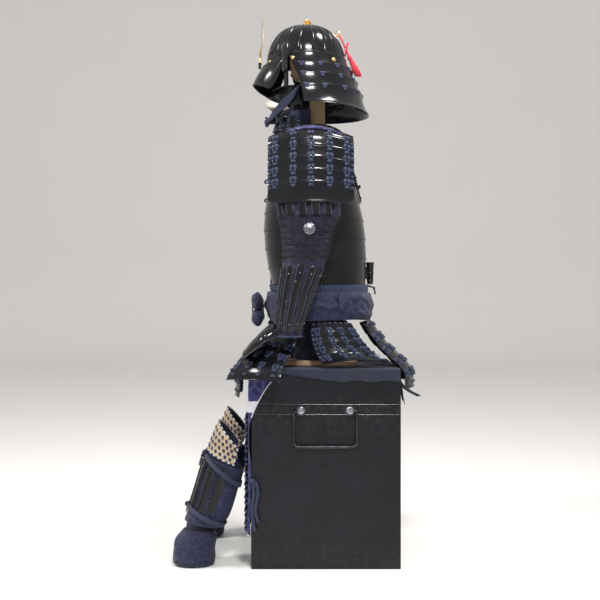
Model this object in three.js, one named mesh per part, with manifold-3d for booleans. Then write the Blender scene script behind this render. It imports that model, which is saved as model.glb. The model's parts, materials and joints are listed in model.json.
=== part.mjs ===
// Samurai armour, filled out and open inside, over a plain hidden stand on its lacquered storage box.
// Millimetres. The origin is on the floor under the middle of the box, +Z is up, the armour faces -Y
// and its left side is +X. Left pieces are built and the right ones are their mirror images.
import * as THREE from 'three';
import Module from 'manifold-3d';
import { mergeVertices } from 'three/addons/utils/BufferGeometryUtils.js';

const wasm = await Module();
wasm.setup();

const GAP = 0.3;          // clearance between pieces that touch
const IRON = 2;           // lacquered plate
const LAMES = 3;          // laced, stepped plates, at their thickest
const STEP = 2;           // how far each lame stands out over the one above it
const CLOTH = 2;          // brocade and its backing

const model = new THREE.Group();
const finish = (color, roughness, metalness) => ({ color, roughness, metalness });
const LACQUER = finish(0x0b0a0c, 0.22, 0.1);
const GILT = finish(0xb98a35, 0.35, 1);
const LACING = finish(0x232a44, 0.8, 0);
const BROCADE = finish(0x3a3048, 0.75, 0);
const NAVY = finish(0x1d2036, 0.8, 0);
const CRIMSON = finish(0xa3202c, 0.8, 0);
const LEATHER = finish(0xa58c64, 0.7, 0);
const HAIR = finish(0xd8d0bc, 0.8, 0);
const WOOD = finish(0x8a6a45, 0.7, 0);

const point = (x, y, z) => new THREE.Vector3(x, y, z);
const radians = THREE.MathUtils.degToRad;
const mix = THREE.MathUtils.lerp;
const spread = (count, from, to) => Array.from({ length: count + 1 }, (_, i) => mix(from, to, i / count));

// ---------------------------------------------------------------- making solids

/** One closed body from its points and triangles, turned so that the faces point out. */
function closedSolid(points, triangles) {
  let volume = 0;
  for (const [a, b, c] of triangles) volume += points[a].dot(points[b].clone().cross(points[c]));
  const order = volume > 0 ? [0, 1, 2] : [0, 2, 1];
  const geometry = new THREE.BufferGeometry();
  geometry.setAttribute('position', new THREE.Float32BufferAttribute(points.flatMap((p) => p.toArray()), 3));
  geometry.setIndex(triangles.flatMap((triangle) => order.map((corner) => triangle[corner])));
  return geometry;
}

/** The wall between two grids of points: rows from top to bottom, closed round when ringed. */
function between(outer, inner, ringed) {
  const columns = outer[0].length;
  const bottom = outer.length - 1;
  const right = ringed ? columns : columns - 1;
  const out = (row, column) => row * columns + (column % columns);
  const inn = (row, column) => outer.length * columns + out(row, column);
  const triangles = [];
  const quad = (a, b, c, d) => triangles.push([a, b, c], [a, c, d]);
  for (let c = 0; c < right; c += 1) {
    for (let r = 0; r < bottom; r += 1) {
      quad(out(r, c), out(r + 1, c), out(r + 1, c + 1), out(r, c + 1));
      quad(inn(r, c), inn(r, c + 1), inn(r + 1, c + 1), inn(r + 1, c));
    }
    quad(out(0, c), out(0, c + 1), inn(0, c + 1), inn(0, c));
    quad(out(bottom, c), inn(bottom, c), inn(bottom, c + 1), out(bottom, c + 1));
  }
  for (let r = 0; r < bottom && !ringed; r += 1) {
    quad(out(r, 0), inn(r, 0), inn(r + 1, 0), out(r + 1, 0));
    quad(out(r, right), out(r + 1, right), inn(r + 1, right), inn(r, right));
  }
  return closedSolid([...outer.flat(), ...inner.flat()], triangles);
}

/** The inward normals of a grid whose rows run down and whose columns run anticlockwise from above. */
function inwardNormals(grid, ringed) {
  const columns = grid[0].length;
  const at = (row, column) => {
    const wrapped = ringed ? (column + columns) % columns : Math.min(Math.max(column, 0), columns - 1);
    return grid[Math.min(Math.max(row, 0), grid.length - 1)][wrapped];
  };
  return grid.map((row, r) => row.map((_, c) => {
    const along = at(r, c + 1).clone().sub(at(r, c - 1));
    const down = at(r + 1, c).clone().sub(at(r - 1, c));
    return along.cross(down).normalize();
  }));
}

/** The grid moved along its own inward normals. */
function inset(grid, distance, ringed = false) {
  const normals = inwardNormals(grid, ringed);
  return grid.map((row, r) => row.map((p, c) => p.clone().addScaledVector(normals[r][c], distance)));
}

const wall = (grid, thickness, ringed = false) => between(grid, inset(grid, thickness, ringed), ringed);
const moved = (grid, shift) => grid.map((row) => row.map((p) => p.clone().add(shift)));

/** A closed solid of stacked rings with the same number of points, its two ends fanned shut. */
function stacked(rings) {
  const sides = rings[0].length;
  const points = rings.flat();
  const triangles = [];
  for (let r = 0; r < rings.length - 1; r += 1) {
    for (let c = 0; c < sides; c += 1) {
      const next = (c + 1) % sides;
      const [a, b, d, e] = [r * sides + c, r * sides + next, (r + 1) * sides + c, (r + 1) * sides + next];
      triangles.push([a, d, e], [a, e, b]);
    }
  }
  const middle = (ring) => ring.reduce((sum, p) => sum.add(p), point(0, 0, 0)).divideScalar(sides);
  const first = points.push(middle(rings[0])) - 1;
  const last = points.push(middle(rings.at(-1))) - 1;
  const base = (rings.length - 1) * sides;
  for (let c = 0; c < sides; c += 1) {
    const next = (c + 1) % sides;
    triangles.push([first, c, next], [last, base + next, base + c]);
  }
  return closedSolid(points, triangles);
}

/** A round bar along a smooth path; the radius is a number or a function of the way along, 0 to 1. */
function bar(path, radius, steps = 16, sides = 8, flatness = 1) {
  const curve = new THREE.CatmullRomCurve3(path, false, 'centripetal');
  const { normals, binormals } = curve.computeFrenetFrames(steps);
  const size = typeof radius === 'function' ? radius : () => radius;
  return stacked(spread(steps, 0, 1).map((along, i) => {
    const centre = curve.getPointAt(along);
    return spread(sides, 0, 2 * Math.PI).slice(0, sides).map((turn) => centre.clone()
      .addScaledVector(normals[i], Math.cos(turn) * size(along))
      .addScaledVector(binormals[i], Math.sin(turn) * size(along) * flatness));
  }));
}

/** A point on an oval plan: 0 degrees is the front, 90 degrees the armour's left. */
function oval(degrees, { half, front, rear, z, round = 1 }) {
  const turn = radians(degrees);
  const shaped = (value) => Math.sign(value) * Math.abs(value) ** round;
  const middle = (front + rear) / 2;
  return point(half * shaped(Math.sin(turn)), middle - (rear - middle) * shaped(Math.cos(turn)), z);
}

/** Rows of a table read off between its rows, by one of its columns that always falls. */
function readTable(table, column, value) {
  const lower = Math.min(Math.max(table.findIndex((row) => row[column] <= value), 1), table.length - 1);
  const [a, b] = [table[lower - 1], table[lower]];
  const share = (value - a[column]) / (b[column] - a[column]);
  return Object.fromEntries(Object.keys(a).map((key) => [key, mix(a[key], b[key], share)]));
}

const around = (sections, sides) => sections.map((section) => spread(sides, 0, 360).slice(0, sides)
  .map((degrees) => oval(degrees, section)));

function mirrored(geometry) {
  const copy = geometry.clone();
  const places = copy.getAttribute('position');
  for (let i = 0; i < places.count; i += 1) places.setX(i, -places.getX(i));
  const corners = Array.from(copy.getIndex().array);
  for (let i = 0; i < corners.length; i += 3) [corners[i], corners[i + 1]] = [corners[i + 1], corners[i]];
  copy.setIndex(corners);
  return copy;
}

function toManifold(geometry) {
  const bare = geometry.clone();
  bare.deleteAttribute('normal');
  bare.deleteAttribute('uv');
  const merged = mergeVertices(bare, 1e-4);
  return new wasm.Manifold(new wasm.Mesh({
    numProp: 3,
    vertProperties: Float32Array.from(merged.getAttribute('position').array),
    triVerts: Uint32Array.from(merged.getIndex().array),
  }));
}

function fromManifold(solid) {
  const { vertProperties, triVerts } = solid.getMesh();
  const geometry = new THREE.BufferGeometry();
  geometry.setAttribute('position', new THREE.BufferAttribute(vertProperties, 3));
  geometry.setIndex(new THREE.BufferAttribute(triVerts, 1));
  return geometry;
}

const joined = (geometries) => fromManifold(geometries.map(toManifold).reduce((all, next) => all.add(next)));
const cut = (geometry, tool) => fromManifold(toManifold(geometry).subtract(toManifold(tool)));

/** A box given by its lowest and highest corners. */
function block(low, high) {
  const geometry = new THREE.BoxGeometry(high[0] - low[0], high[1] - low[1], high[2] - low[2]);
  return geometry.translate((high[0] + low[0]) / 2, (high[1] + low[1]) / 2, (high[2] + low[2]) / 2);
}

function add(name, geometry, look) {
  const mesh = new THREE.Mesh(geometry, new THREE.MeshStandardMaterial(look));
  mesh.name = name;
  model.add(mesh);
}

function addPair(name, geometry, look) {
  const indexed = geometry.getIndex() ? geometry : mergeVertices(geometry);
  add(`${name}_left`, indexed, look);
  add(`${name}_right`, mirrored(indexed), look);
}

// ---------------------------------------------------------------- storage box

const BOX = { side: 400, seam: 438, top: 533, wall: 10, lip: 22, play: 1 };

function boxBody() {
  const half = BOX.side / 2;
  const lip = half - BOX.wall - BOX.play;
  const room = lip - BOX.wall;
  const shell = joined([
    block([-half, -half, 0], [half, half, BOX.seam - GAP]),
    block([-lip, -lip, BOX.wall], [lip, lip, BOX.seam + BOX.lip]),
  ]);
  return cut(shell, block([-room, -room, BOX.wall], [room, room, BOX.top]));
}

function boxLid() {
  const half = BOX.side / 2;
  const room = half - BOX.wall;
  const outside = block([-half, -half, BOX.seam], [half, half, BOX.top]);
  return cut(outside, block([-room, -room, BOX.seam - 1], [room, room, BOX.top - BOX.wall]));
}

add('box_body', boxBody(), LACQUER);
add('box_lid', boxLid(), LACQUER);

// A hoop handle hangs from two studs on each side; its ends turn in towards the studs.
const HANDLE = { rear: 64, front: -67, reach: 8, x: 208.5, z: 424, drop: 97, thick: 4, stud: 9 };

function handleStud(y) {
  const stud = new THREE.CylinderGeometry(HANDLE.stud, HANDLE.stud + 1, 17, 20);
  return stud.rotateZ(-Math.PI / 2).translate(BOX.side / 2 + GAP + 8.5, y, HANDLE.z);
}

function hoopHandle() {
  const { x, z, thick, reach, drop } = HANDLE;
  const clear = HANDLE.stud + 1 + 2 * GAP;
  const [rear, front, low] = [HANDLE.rear + clear + reach, HANDLE.front - clear - reach, z - drop];
  const corner = 16;
  return bar([
    point(x, rear - reach, z), point(x, rear - 1, z - 1), point(x, rear, z - 8), point(x, rear, z - 40),
    point(x, rear, low + corner), point(x, rear - corner / 3, low + corner / 3), point(x, rear - corner, low),
    point(x, 0, low),
    point(x, front + corner, low), point(x, front + corner / 3, low + corner / 3), point(x, front, low + corner),
    point(x, front, z - 40), point(x, front, z - 8), point(x, front + 1, z - 1), point(x, front + reach, z),
  ], thick, 44, 6);
}

addPair('handle_stud_rear', handleStud(HANDLE.rear), GILT);
addPair('handle_stud_front', handleStud(HANDLE.front), GILT);
addPair('handle', hoopHandle(), LACQUER);

// ---------------------------------------------------------------- helmet

const BOWL = { half: 98, length: 110, middle: -52, base: 1400, height: 108, fullness: 2.15, hole: 0.09 };

/** The bowl's outline at a share of its full width, from the small hole at the top to the rim. */
function bowlSection(turn, scale = 1) {
  const width = scale * Math.sin(turn) ** (2 / BOWL.fullness);
  const height = scale * Math.cos(turn) ** (2 / BOWL.fullness);
  return {
    half: BOWL.half * width,
    front: BOWL.middle - BOWL.length * width,
    rear: BOWL.middle + BOWL.length * width,
    z: BOWL.base + BOWL.height * height,
  };
}

const bowlTurns = spread(7, BOWL.hole, Math.PI / 2);
add('helmet_bowl', wall(around(bowlTurns.map((turn) => bowlSection(turn)), 26), IRON, true), LACQUER);

function finial() {
  const outline = [[0, 0], [18, 0], [16, 4], [9, 6], [12, 10], [8, 14], [6, 18], [0, 18]];
  const turned = new THREE.LatheGeometry(outline.map(([r, z]) => new THREE.Vector2(r, z)), 16);
  return turned.rotateX(Math.PI / 2).translate(0, -48, BOWL.base + BOWL.height + GAP);
}
add('helmet_finial', mergeVertices(finial()), GILT);

// The visor stands out most in front and turns down at its corners.
const VISOR = [
  { degrees: 57, out: 6, z: 1386 },
  { degrees: 50, out: 15, z: 1346 },
  { degrees: 42, out: 21, z: 1314 },
  { degrees: 30, out: 33, z: 1322 },
  { degrees: 15, out: 41, z: 1333 },
  { degrees: 0, out: 44, z: 1338 },
];

function visor() {
  const rim = spread(16, -57, 57).map((degrees) => ({ degrees, ...readTable(VISOR, 'degrees', Math.abs(degrees)) }));
  const row = (share) => rim.map(({ out, z, ...turn }, i) => {
    const degrees = mix(-57, 57, i / 16);
    const away = mix(2.6, out, share) + 4 * Math.sin(Math.PI * share);
    const section = { half: BOWL.half + away, front: BOWL.middle - BOWL.length - away };
    return oval(degrees, { ...section, rear: BOWL.middle + BOWL.length + away, z: mix(BOWL.base, z, share) });
  });
  return wall([0, 0.5, 1].map(row), IRON);
}
add('helmet_visor', visor(), LACQUER);

// Each neck lame hangs outside the one above, open in front by an angle on each side.
const NECK = [
  { z: 1400, rear: 60, half: 101, open: 66 },
  { z: 1369, rear: 76, half: 117, open: 73 },
  { z: 1338, rear: 90, half: 133, open: 80 },
  { z: 1302, rear: 105, half: 150, open: 85 },
  { z: 1246, rear: 128, half: 175, open: 88 },
];

function neckLame(upper, lower) {
  const step = 3.2;
  const overlap = 7;
  const rows = [{ ...upper, z: upper.z + overlap, rear: upper.rear + step, half: upper.half + step }, lower];
  return wall(rows.map((row) => spread(20, row.open, 360 - row.open)
    .map((degrees) => oval(degrees, { ...row, front: 2 * BOWL.middle - row.rear }))), IRON);
}
NECK.slice(1).forEach((lower, i) => add(`neck_lame_${i + 1}`, neckLame(NECK[i], lower), LACQUER));

function turnback() {
  return wall(spread(4, 1420, 1348).map((z) => spread(6, 1, 0).map((share) => point(
    mix(98, 142, share),
    -105 - 12 * Math.sin(Math.PI * share),
    z,
  ))), IRON);
}
addPair('turnback', turnback(), LACQUER);

const CREST = { foot: 1401, y: -183, height: 118, spread: 72, plate: 1.6, lean: 4.5 };

function crest() {
  const { height, spread: wide } = CREST;
  const outline = new THREE.Shape();
  outline.moveTo(-6, 0);
  outline.lineTo(6, 0);
  outline.lineTo(9, 16);
  outline.quadraticCurveTo(wide * 0.75, height * 0.3, wide * 0.9, height);
  outline.lineTo(wide * 0.66, height * 0.9);
  outline.quadraticCurveTo(wide * 0.5, height * 0.42, 0, 30);
  outline.quadraticCurveTo(-wide * 0.5, height * 0.42, -wide * 0.66, height * 0.9);
  outline.lineTo(-wide * 0.9, height);
  outline.quadraticCurveTo(-wide * 0.75, height * 0.3, -9, 16);
  const plate = new THREE.ExtrudeGeometry(outline, { depth: CREST.plate, bevelEnabled: false, curveSegments: 8 });
  plate.rotateX(Math.PI / 2 - radians(CREST.lean));
  return plate.translate(0, CREST.y, CREST.foot);
}
add('crest', mergeVertices(crest().deleteAttribute('normal').deleteAttribute('uv')), GILT);
add('crest_holder', block([-8, -189, 1384], [8, -180.5, CREST.foot - 2 * GAP]), LACQUER);

const tasselPath = [[0, 44, 1480], [0, 54, 1462], [0, 64, 1438], [0, 71, 1422], [0, 85, 1396], [0, 104, 1357]];
const tasselSize = (along) => (along < 0.42 ? 3.5 : mix(7, 12, (along - 0.42) / 0.58));
add('tassel', bar(tasselPath.map((p) => point(...p)), tasselSize, 14, 8), CRIMSON);

// ---------------------------------------------------------------- mask and throat

const FACE = { middle: -75, reach: 100 };
const MASK = [
  { z: 1322, front: -138, half: 67, nose: 8 },
  { z: 1308, front: -141, half: 70, nose: 14 },
  { z: 1298, front: -142, half: 71, nose: 18 },
  { z: 1289, front: -142, half: 70, nose: 8 },
  { z: 1275, front: -140, half: 67, nose: 3 },
  { z: 1258, front: -141, half: 58, nose: 3 },
  { z: 1244, front: -137, half: 44, nose: 2 },
];

function mask() {
  const bridge = 12;
  return wall(MASK.map((row) => spread(22, -FACE.reach, FACE.reach).map((degrees) => {
    const skin = oval(degrees, { ...row, rear: 2 * FACE.middle - row.front });
    return skin.setY(skin.y - row.nose * Math.exp(-((degrees / bridge) ** 2)));
  })), IRON);
}
add('mask', mask(), LACQUER);

const moustachePath = [[62, -99, 1258], [42, -131, 1268], [20, -150, 1279], [0, -158, 1284]];
const bothSides = (half) => [...half, ...half.slice(0, -1).reverse().map(([x, y, z]) => [-x, y, z])]
  .map((p) => point(...p));
add('moustache', bar(bothSides(moustachePath), (along) => 1.5 + 3.5 * Math.sin(Math.PI * along) ** 0.5, 18, 6), HAIR);

const THROAT = {
  top: 1240, bottom: 1200, plates: 3, reach: 98, topHalf: 50, bottomHalf: 54, topFront: -134, bottomFront: -146,
};

function throatGuard() {
  const rows = [];
  for (let plate = 0; plate < THROAT.plates; plate += 1) {
    rows.push({ share: plate / THROAT.plates, out: STEP }, { share: (plate + 1) / THROAT.plates, out: 0 });
  }
  const grid = (away) => rows.map(({ share, out }) => {
    const size = out + away;
    const front = mix(THROAT.topFront, THROAT.bottomFront, share) - size;
    const section = { half: mix(THROAT.topHalf, THROAT.bottomHalf, share) + size, front, rear: 2 * FACE.middle - front };
    return spread(14, -THROAT.reach, THROAT.reach)
      .map((degrees) => oval(degrees, { ...section, z: mix(THROAT.top, THROAT.bottom, share) }));
  });
  return between(grid(0), grid(-LAMES));
}
add('throat_guard', throatGuard(), LACQUER);

const chinPath = [[96, -80, 1304], [80, -112, 1282], [62, -136, 1262], [34, -155, 1244], [0, -162, 1230]];
const chinSize = (along) => 4 + 9 * Math.exp(-(((along - 0.5) / 0.055) ** 2));
add('chin_cord', bar(bothSides(chinPath), chinSize, 28, 6), NAVY);

// ---------------------------------------------------------------- cuirass

// The reach is how far each half comes round at that height; below the armholes the halves meet.
const CUIRASS = [
  { z: 1140, front: -112, rear: 62, half: 112, reachFront: 40, reachBack: 46 },
  { z: 1112, front: -126, rear: 70, half: 118, reachFront: 46, reachBack: 52 },
  { z: 1060, front: -150, rear: 84, half: 137, reachFront: 53, reachBack: 58 },
  { z: 1005, front: -165, rear: 98, half: 152, reachFront: 70, reachBack: 72 },
  { z: 985, front: -168, rear: 103, half: 154, reachFront: 89.5, reachBack: 89.5 },
  { z: 941, front: -172, rear: 112, half: 156, reachFront: 89.5, reachBack: 89.5 },
  { z: 870, front: -169, rear: 119, half: 153, reachFront: 89.5, reachBack: 89.5 },
  { z: 793, front: -156, rear: 119, half: 146, reachFront: 89.5, reachBack: 89.5 },
  { z: 739, front: -142, rear: 117, half: 139, reachFront: 89.5, reachBack: 89.5 },
];

function cuirassHalf(towards, reach, top) {
  const rows = CUIRASS.filter((row) => row.z <= top);
  return wall(rows.map((row) => spread(14, towards - row[reach], towards + row[reach])
    .map((degrees) => oval(degrees, { ...row, round: 0.9 }))), IRON);
}
add('cuirass_front', cuirassHalf(0, 'reachFront', 1120), LACQUER);
add('cuirass_back', cuirassHalf(180, 'reachBack', 1150), LACQUER);

function shoulderStrap() {
  const [inner, outer, fall] = [71, 114, 0.12];
  const ridge = new THREE.CatmullRomCurve3([[0, 72, 1147], [0, 60, 1170], [0, 20, 1199], [0, -40, 1206], [0, -100, 1188],
    [0, -116, 1124]].map((p) => point(...p)));
  return wall(ridge.getPoints(10).map((p) => spread(3, outer, inner)
    .map((x) => point(x, p.y, p.z - fall * (x - inner)))), 4);
}
addPair('shoulder_strap', shoulderStrap(), LACQUER);

// A padded collar stands round the neck, open in front.
const COLLAR = [
  { z: 1198, front: -122, rear: 34, half: 66 },
  { z: 1184, front: -116, rear: 26, half: 64 },
  { z: 1169, front: -114, rear: 24, half: 62 },
];
const collar = () => wall(COLLAR.map((row) => spread(18, 35, 325).map((degrees) => oval(degrees, row))), 4);
add('collar', collar(), NAVY);

// A slim plate up the back and a cup low down carry a banner pole.
function backPlate() {
  const plate = block([-24, 0, 0], [24, 5, 88]);
  return plate.rotateX(radians(13.5)).translate(0, 103.5, 996);
}
add('banner_plate', backPlate(), LACQUER);

function bannerCup() {
  const profile = [[0, 0], [8, 0], [11.5, 63], [9.8, 63], [6.4, 2.5], [0, 2.5]];
  const cup = new THREE.LatheGeometry(profile.map(([r, z]) => new THREE.Vector2(r, z)), 16);
  return cup.rotateX(Math.PI / 2).translate(0, 132.5, 763);
}
add('banner_cup', mergeVertices(bannerCup().deleteAttribute('normal').deleteAttribute('uv')), LACQUER);

// ---------------------------------------------------------------- waist

const WAIST = [
  { z: 760, front: -157, rear: 126, half: 149, round: 0.9 },
  { z: 738, front: -152, rear: 125, half: 147, round: 0.9 },
  { z: 664, front: -147, rear: 127, half: 145, round: 0.9 },
];
const SCALLOP = 4;
add('waist_lacing', wall(WAIST.map((row, r) => spread(40, 0, 360).slice(0, 40).map((degrees, c) => oval(degrees, {
  ...row,
  z: row.z + (r === 0 && c % 2 ? SCALLOP : 0),
}))), CLOTH, true), LACING);

const SASH = [
  { z: 738, front: -162, rear: 131, half: 153, round: 0.9 },
  { z: 718, front: -168, rear: 139, half: 158, round: 0.9 },
  { z: 688, front: -166, rear: 137, half: 156, round: 0.9 },
  { z: 664, front: -156, rear: 132, half: 151, round: 0.9 },
];
add('sash', wall(around(SASH, 28), 3, true), NAVY);

function sashKnot() {
  const roll = { x: 18, y: -190, z: 692, half: 62, deep: 21, tall: 49 };
  return stacked(spread(10, 0.08, Math.PI - 0.08).map((turn) => spread(14, 0, 360).slice(0, 14).map((degrees) => {
    const [c, s] = [Math.cos(radians(degrees)), Math.sin(radians(degrees))];
    const girth = Math.sin(turn) ** 0.6;
    return point(roll.x - roll.half * Math.cos(turn), roll.y + roll.deep * girth * c, roll.z + roll.tall * girth * s);
  })));
}
add('sash_knot', sashKnot(), NAVY);

// Seven skirt panels. A route runs down a panel's middle; facing is the way it looks, 0 the front;
// half is its half width at the top and the bottom, and sag how far its sides curve back.
const SKIRTS = [
  { name: 'front', facing: 0, half: [50, 76], sag: 16, route: [[0, -152, 658], [0, -192, 600], [0, -230, 556], [0, -248, 528],
    [0, -256, 446]] },
  { name: 'front_side', facing: 62, half: [48, 84], sag: 16, route: [[100, -112, 658], [144, -144, 606], [192, -178, 562],
    [219, -197, 530], [226, -202, 508]] },
  { name: 'side', facing: 97, half: [56, 92], sag: 15, route: [[150, 18, 658], [162, 34, 612], [172, 56, 580], [200, 88, 558]] },
  { name: 'rear', facing: 167, half: [56, 76], sag: 14, route: [[70, 132, 656], [84, 174, 598], [92, 218, 556],
    [94, 242, 526], [96, 247, 478]] },
];
const SKIRT_LAMES = 5;

function skirt({ facing, half, sag, route }) {
  const path = new THREE.CatmullRomCurve3(route.map((p) => point(...p)), false, 'centripetal');
  const across = point(Math.cos(radians(facing)), Math.sin(radians(facing)), 0);
  const rows = [];
  for (let lame = 0; lame < SKIRT_LAMES; lame += 1) {
    rows.push({ along: lame / SKIRT_LAMES, out: STEP }, { along: (lame + 1) / SKIRT_LAMES, out: 0 });
  }
  const grid = (away) => rows.map(({ along, out }) => {
    const outward = across.clone().cross(path.getTangentAt(along).negate()).normalize();
    return spread(6, -1, 1).map((side) => path.getPointAt(along)
      .addScaledVector(across, side * mix(half[0], half[1], along))
      .addScaledVector(outward, out + away - sag * side * side));
  });
  return between(grid(0), grid(-LAMES));
}
for (const panel of SKIRTS) {
  if (panel.name === 'front') add('skirt_front', skirt(panel), LACQUER);
  else addPair(`skirt_${panel.name}`, skirt(panel), LACQUER);
}

// ---------------------------------------------------------------- shoulders and arms

const SHOULDER = [
  { z: 1178, x: 197, droop: 20 },
  { z: 1170, x: 213, droop: 19 },
  { z: 1156, x: 224, droop: 18 },
  { z: 1127, x: 231, droop: 15 },
  { z: 1095, x: 236, droop: 13 },
  { z: 1062, x: 239, droop: 11 },
  { z: 1030, x: 241, droop: 9 },
  { z: 979, x: 243, droop: 7 },
];
const SHOULDER_PLAN = { front: -155, rear: 74, curve: 22, topPlateRows: 3, cornerRise: 14 };

function shoulderGuard() {
  const rows = SHOULDER.flatMap((row, i) => {
    const stepped = i >= SHOULDER_PLAN.topPlateRows - 1 && i < SHOULDER.length - 1;
    return stepped ? [{ ...row, out: 0 }, { ...row, out: STEP }] : [{ ...row, out: 0 }];
  });
  const last = rows.length - 1;
  const outer = rows.map(({ z, x, droop, out }, r) => spread(8, 0, 1).map((share) => {
    const side = 2 * share - 1;
    const rise = r === last ? SHOULDER_PLAN.cornerRise * Math.max(0, Math.abs(side) - 0.8) / 0.2 : 0;
    return point(
      x + out - SHOULDER_PLAN.curve * side * side,
      mix(SHOULDER_PLAN.front, SHOULDER_PLAN.rear, share),
      z - droop * side * side + rise,
    );
  }));
  return between(outer, moved(outer, point(-LAMES, 0, 0)));
}
addPair('shoulder_guard', shoulderGuard(), LACQUER);

const SLEEVE = [
  { z: 1108, y: -45, deep: 56, x: 176, wide: 34 },
  { z: 1060, y: -46, deep: 64, x: 188, wide: 37 },
  { z: 1000, y: -48, deep: 78, x: 196, wide: 38 },
  { z: 968, y: -48, deep: 87, x: 199, wide: 38.5 },
  { z: 942, y: -46, deep: 84, x: 201, wide: 39 },
  { z: 905, y: -50, deep: 70, x: 204, wide: 40 },
  { z: 850, y: -54, deep: 62, x: 207, wide: 41 },
  { z: 800, y: -62, deep: 56, x: 208, wide: 40 },
  { z: 746, y: -76, deep: 49, x: 207, wide: 37 },
  { z: 690, y: -88, deep: 42, x: 203, wide: 34 },
  { z: 640, y: -97, deep: 36, x: 198, wide: 31 },
  { z: 618, y: -101, deep: 36, x: 195, wide: 31 },
];

function sleeve() {
  return wall(SLEEVE.map(({ z, y, deep, x, wide }) => spread(16, 0, 360).slice(0, 16)
    .map((degrees) => oval(degrees, { half: wide, front: y - deep, rear: y + deep, z }).add(point(x, 0, 0)))), CLOTH, true);
}
addPair('sleeve', sleeve(), BROCADE);

// The hand guard is a dome over the back of the hand, open beneath.
const HAND = [
  { x: 196, y: -140, z: 652, wide: 35, tall: 30 },
  { x: 194, y: -160, z: 642, wide: 44, tall: 30 },
  { x: 191, y: -184, z: 622, wide: 47, tall: 28 },
  { x: 187, y: -206, z: 598, wide: 42, tall: 22 },
  { x: 184, y: -222, z: 578, wide: 26, tall: 14 },
];

function handGuard() {
  return wall(HAND.map(({ x, y, z, wide, tall }) => spread(10, -1, 1).map((side) => point(
    x - wide * Math.sin(side * Math.PI / 2),
    y,
    z - tall * (1 - Math.cos(side * Math.PI / 2)),
  ))).reverse(), IRON);
}
addPair('hand_guard', handGuard(), LACQUER);

// ---------------------------------------------------------------- thighs, seat cloth and legs

// The apron hangs down the front of the box; its outer edge wraps onto the side, less and less.
const APRON = [
  { z: 522, out: 4, wrap: 74 },
  { z: 490, out: 5, wrap: 48 },
  { z: 452, out: 6, wrap: 26 },
  { z: 408, out: 6, wrap: 6 },
  { z: 250, out: 6, wrap: 4 },
  { z: 92, out: 8, wrap: 2 },
];

function apron() {
  const edge = BOX.side / 2;
  const outer = APRON.map(({ z, out, wrap }) => [
    ...spread(8, 5, edge - 3).map((x) => point(x, -edge - out - 2, z)),
    point(edge + 4, -edge - out + 1, z),
    ...spread(2, 0.3, 1).map((share) => point(edge + 4, -edge - out + 3 + wrap * share, z)),
  ]);
  return wall(outer, CLOTH);
}
addPair('thigh_cloth', apron(), BROCADE);

const THIGH = { top: 408, bottom: 94, rows: 9, inner: 14, outer: 192, y: -214 };

function thighPlates() {
  const outer = [];
  for (let row = 0; row < THIGH.rows; row += 1) {
    for (const [share, out] of [[0, STEP], [1, 0]]) {
      const z = mix(THIGH.top, THIGH.bottom, (row + share) / THIGH.rows);
      outer.push(spread(5, THIGH.inner, THIGH.outer).map((x) => point(x, THIGH.y - out, z)));
    }
  }
  return between(outer, moved(outer, point(0, LAMES, 0)));
}
addPair('thigh_plates', thighPlates(), LACQUER);

const SEAT = { front: -128, rear: 198, drop: 36, shortDrop: 12, from: 40 };

function seatCloth() {
  const edge = BOX.side / 2 + 1 + CLOTH;
  const top = BOX.top + GAP + CLOTH;
  return wall(spread(8, SEAT.rear, SEAT.front).map((y) => {
    const drop = y > SEAT.from ? SEAT.drop : mix(SEAT.shortDrop, SEAT.drop, (y - SEAT.front) / (SEAT.from - SEAT.front));
    return [
      point(-edge, y, top - drop),
      point(-edge, y, top - 2),
      ...spread(8, 2 - edge, edge - 2).map((x) => point(x, y, top)),
      point(edge, y, top - 2),
      point(edge, y, top - drop),
    ];
  }), CLOTH);
}
add('seat_cloth', seatCloth(), NAVY);

// A corner of the seat cloth hangs behind the box in two points.
function clothTail() {
  const rows = [
    { z: 520, near: 120, far: 60, y: 205 },
    { z: 486, near: 126, far: 62, y: 212 },
    { z: 466, near: 118, far: 70, y: 236 },
    { z: 452, near: 100, far: 84, y: 264 },
  ];
  return wall(rows.map(({ z, near, far, y }) => spread(4, near, far).map((x) => point(x, y, z))), CLOTH);
}
add('cloth_tail', clothTail(), NAVY);

// Shins lean: each section is an oval between its front and rear points, seen from the side.
const SHIN = { x: 150 };
const WRAP = [
  { front: [-318, 312], rear: [-224, 258], half: 57 },
  { front: [-336, 268], rear: [-234, 220], half: 57 },
  { front: [-350, 222], rear: [-246, 176], half: 54 },
  { front: [-366, 172], rear: [-262, 134], half: 51 },
  { front: [-384, 124], rear: [-284, 102], half: 47 },
];

function leaning({ front, rear, half }, degrees) {
  const share = (1 - Math.cos(radians(degrees))) / 2;
  return point(SHIN.x + half * Math.sin(radians(degrees)), mix(front[0], rear[0], share), mix(front[1], rear[1], share));
}

const shinWrap = () => wall(WRAP.map((row) => spread(18, 0, 360).slice(0, 18).map((d) => leaning(row, d))), 3, true);
addPair('shin_wrap', shinWrap(), BROCADE);

const KNEE = [
  { front: [-290, 392], rear: [-216, 300], half: 64, reach: 118 },
  { front: [-306, 352], rear: [-222, 290], half: 63, reach: 122 },
  { front: [-321, 316], rear: [-226, 268], half: 60, reach: 126 },
];

const kneeGuard = () => wall(KNEE.map((row) => spread(16, -row.reach, row.reach).map((d) => leaning(row, d))), 3);
addPair('knee_guard', kneeGuard(), LEATHER);

const FOOT = [
  { z: 0, front: -404, rear: -312, half: 38 },
  { z: 14, front: -414, rear: -302, half: 46 },
  { z: 48, front: -413, rear: -300, half: 48 },
  { z: 80, front: -402, rear: -296, half: 46 },
  { z: 96, front: -388, rear: -300, half: 40 },
];
addPair('foot', stacked(around(FOOT, 18)).translate(SHIN.x, 0, 0), NAVY);

// ---------------------------------------------------------------- stand

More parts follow.
